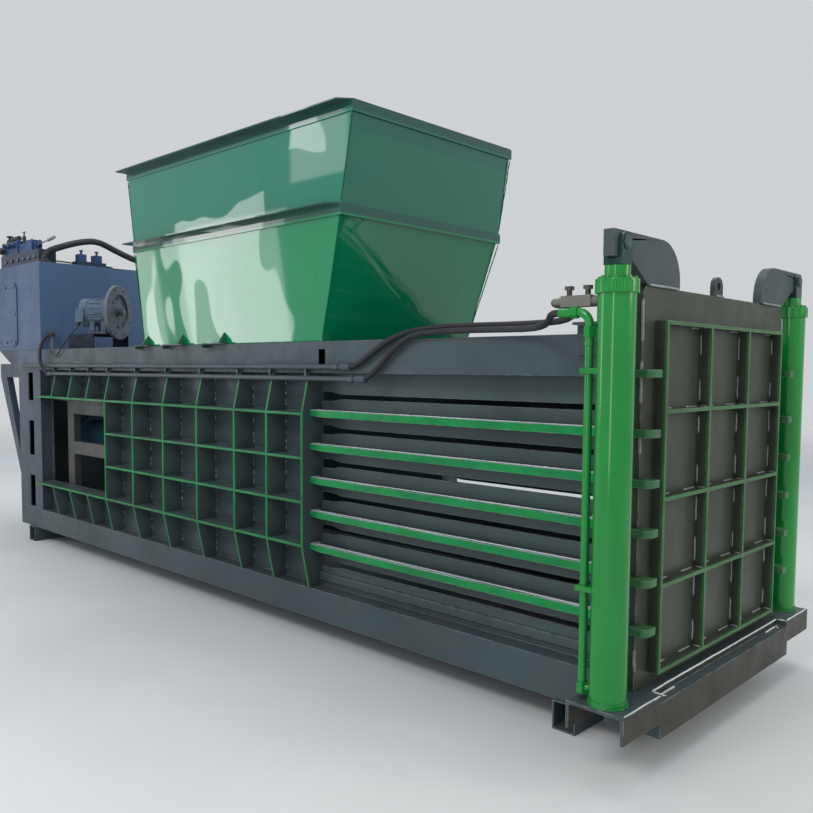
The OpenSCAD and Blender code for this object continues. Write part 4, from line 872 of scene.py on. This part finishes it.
def valve_parts(steel, dark):
    """Plugs, screws and small steel pipes on the valve stack and the pilot valve."""
    tank_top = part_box("oil_tank")[1].z
    stack_x, stack_y, stack_z = TANK_FRONT - 0.149, -0.520, tank_top + 0.130
    mesh = bmesh.new()
    for x in (-0.08, -0.20, -0.33, -0.46, -0.60, -0.74):
        for sign, reach in ((-1, 0.070), (1, 0.090)):
            hex_head(mesh, (stack_x + x, stack_y + sign * reach, tank_top + 0.065), (0, sign, 0), 0.030, 0.014)
    screw = [(0, 0.0075), (0.008, 0.0075), (0.009, 0.0065)]
    for x0, x1, half, top in (
        (-0.780, -0.510, 0.055, 0.126), (-0.330, -0.200, 0.050, 0.106), (-0.880, -0.786, 0.060, 0.100),
    ):
        for x in (x0 + 0.016, x1 - 0.016):
            for y in (-half + 0.014, half - 0.014):
                turned(mesh, (stack_x + x, stack_y + y, stack_z + top - 0.001), (0, 0, 1), screw, 12)
    for x in (-0.700, -0.590):
        for sign, reach in ((-1, 0.115), (1, 0.110)):
            hex_head(mesh, (stack_x + x, stack_y + sign * reach, stack_z + 0.084), (0, sign, 0), 0.026, 0.010)
    place_mesh("valve_screws", mesh, steel)
    mesh = bmesh.new()
    px, py = TANK_FRONT - 0.110, -0.120  # the pilot valve
    routes = [
        [(px - 0.06, py - 0.02, tank_top + 0.025), (px - 0.10, py - 0.02, tank_top + 0.025),
         (px - 0.15, py - 0.06, tank_top + 0.04), (px - 0.17, py - 0.20, tank_top + 0.05),
         (px - 0.17, stack_y + 0.20, tank_top + 0.05), (px - 0.17, stack_y + 0.09, tank_top + 0.05)],
        [(px, py + 0.128, tank_top + 0.020), (px, py + 0.18, tank_top + 0.020),
         (px - 0.03, py + 0.23, tank_top + 0.018), (px - 0.05, py + 0.25, tank_top - 0.001)],
        [(stack_x - 0.833, stack_y + 0.059, stack_z + 0.05), (stack_x - 0.833, stack_y + 0.11, stack_z + 0.05),
         (stack_x - 0.80, stack_y + 0.15, stack_z + 0.02), (stack_x - 0.78, stack_y + 0.16, tank_top + 0.03),
         (stack_x - 0.78, stack_y + 0.16, tank_top - 0.001)],
    ]
    nut = [(0, 0.0125), (0.016, 0.0125), (0.018, 0.010), (0.026, 0.0095)]
    for route in routes:
        tube(mesh, smooth(route, 5), 0.007, 10)
        for end, inner in ((route[0], route[1]), (route[-1], route[-2])):
            turned(mesh, end, Vector(inner) - Vector(end), nut, 6)
    place_mesh("pilot_pipes", mesh, dark)


def pin_keepers(material):
    """Washer and split pin on both ends of the lift pins."""
    low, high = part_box("lift_pins")
    z = (low.z + high.z) / 2
    mesh = bmesh.new()
    for y in (-LIFT_Y, LIFT_Y):
        for x, axis in ((low.x + 0.004, -1), (high.x - 0.004, 1)):
            turned(mesh, (x - axis * 0.0035, y, z), (axis, 0, 0),
                   [(0, 0.026), (0.0005, 0.027), (0.004, 0.027), (0.0045, 0.026)], 24)
            tube(mesh, [Vector((x + axis * 0.0015, y, z + dz)) for dz in (-0.026, 0, 0.026)], 0.0022, 8)
    place_mesh("pin_keepers", mesh, material, "door")


def tank_beads(material):
    """Corner seams of the tank."""
    low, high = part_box("oil_tank")
    lines = []
    for y in (low.y + 0.0015, high.y - 0.0015):
        lines.append(((high.x - 0.0015, y, low.z + 0.01), (high.x - 0.0015, y, high.z - 0.01)))
        lines.append(((low.x + 0.0040, y, low.z + 0.01), (low.x + 0.0040, y, high.z - 0.01)))
        lines.append(((low.x + 0.01, y, high.z - 0.001), (high.x - 0.01, y, high.z - 0.001)))
        lines.append(((high.x - 0.45, y, low.z + 0.002), (high.x - 0.01, y, low.z + 0.002)))
    lines.append(((high.x + 0.001, low.y + 0.01, low.z + 0.003), (high.x + 0.001, high.y - 0.01, low.z + 0.003)))
    beads("tank_welds", lines, 0.0028, material, step=0.016)


def add_details(paints):
    """All the pieces round the CAD nodes, apart from the motor's lead."""
    weld = paint("weld_metal", (0.40, 0.41, 0.39), (0.22, 0.23, 0.22), rough=(0.20, 0.38), metallic=0.2, corners=0.0)
    grey = paint("painted_weld", (0.12, 0.14, 0.145), (0.075, 0.088, 0.092), rough=(0.25, 0.42), corners=0.0)
    green = paint("green_weld", (0.002, 0.130, 0.055), (0.002, 0.10, 0.05), rough=(0.35, 0.5), corners=0.0, spec=0.1)
    blue = paint("blue_weld", (0.085, 0.125, 0.20), (0.065, 0.098, 0.16), corners=0.0)
    foot = paint("foot_weld", (0.006, 0.200, 0.036), (0.006, 0.150, 0.030), rough=(0.10, 0.18), corners=0.0, coat=0.3)
    shiny = paint("bar_weld", (0.78, 0.80, 0.80), (0.50, 0.51, 0.51), rough=(0.20, 0.35), grime_and_bounce_share=0.05,
                  corners=0.0, dusty=0.0)
    door_beads(weld)
    rib_beads(grey, weld, shiny)
    frame_beads(grey, shiny)
    claw_beads(grey, weld)
    lift_feet(foot)
    hopper_beads(green)
    tank_beads(blue)
    wall_strips(paints["slat_grey"])
    hose_fittings(paints["pipe_grey"])
    motor_parts(paints["motor_grey"], paints["bolt_steel"])
    valve_parts(paints["bolt_steel"], paints["pipe_grey"])
    pin_keepers(paints["pin_steel"])


set_camera()
paints = make_paints()
motor_lead(paints["cable_black"], paints["clip_black"])
set_light()
make_floor()
dress_all(paints)
add_details(paints)
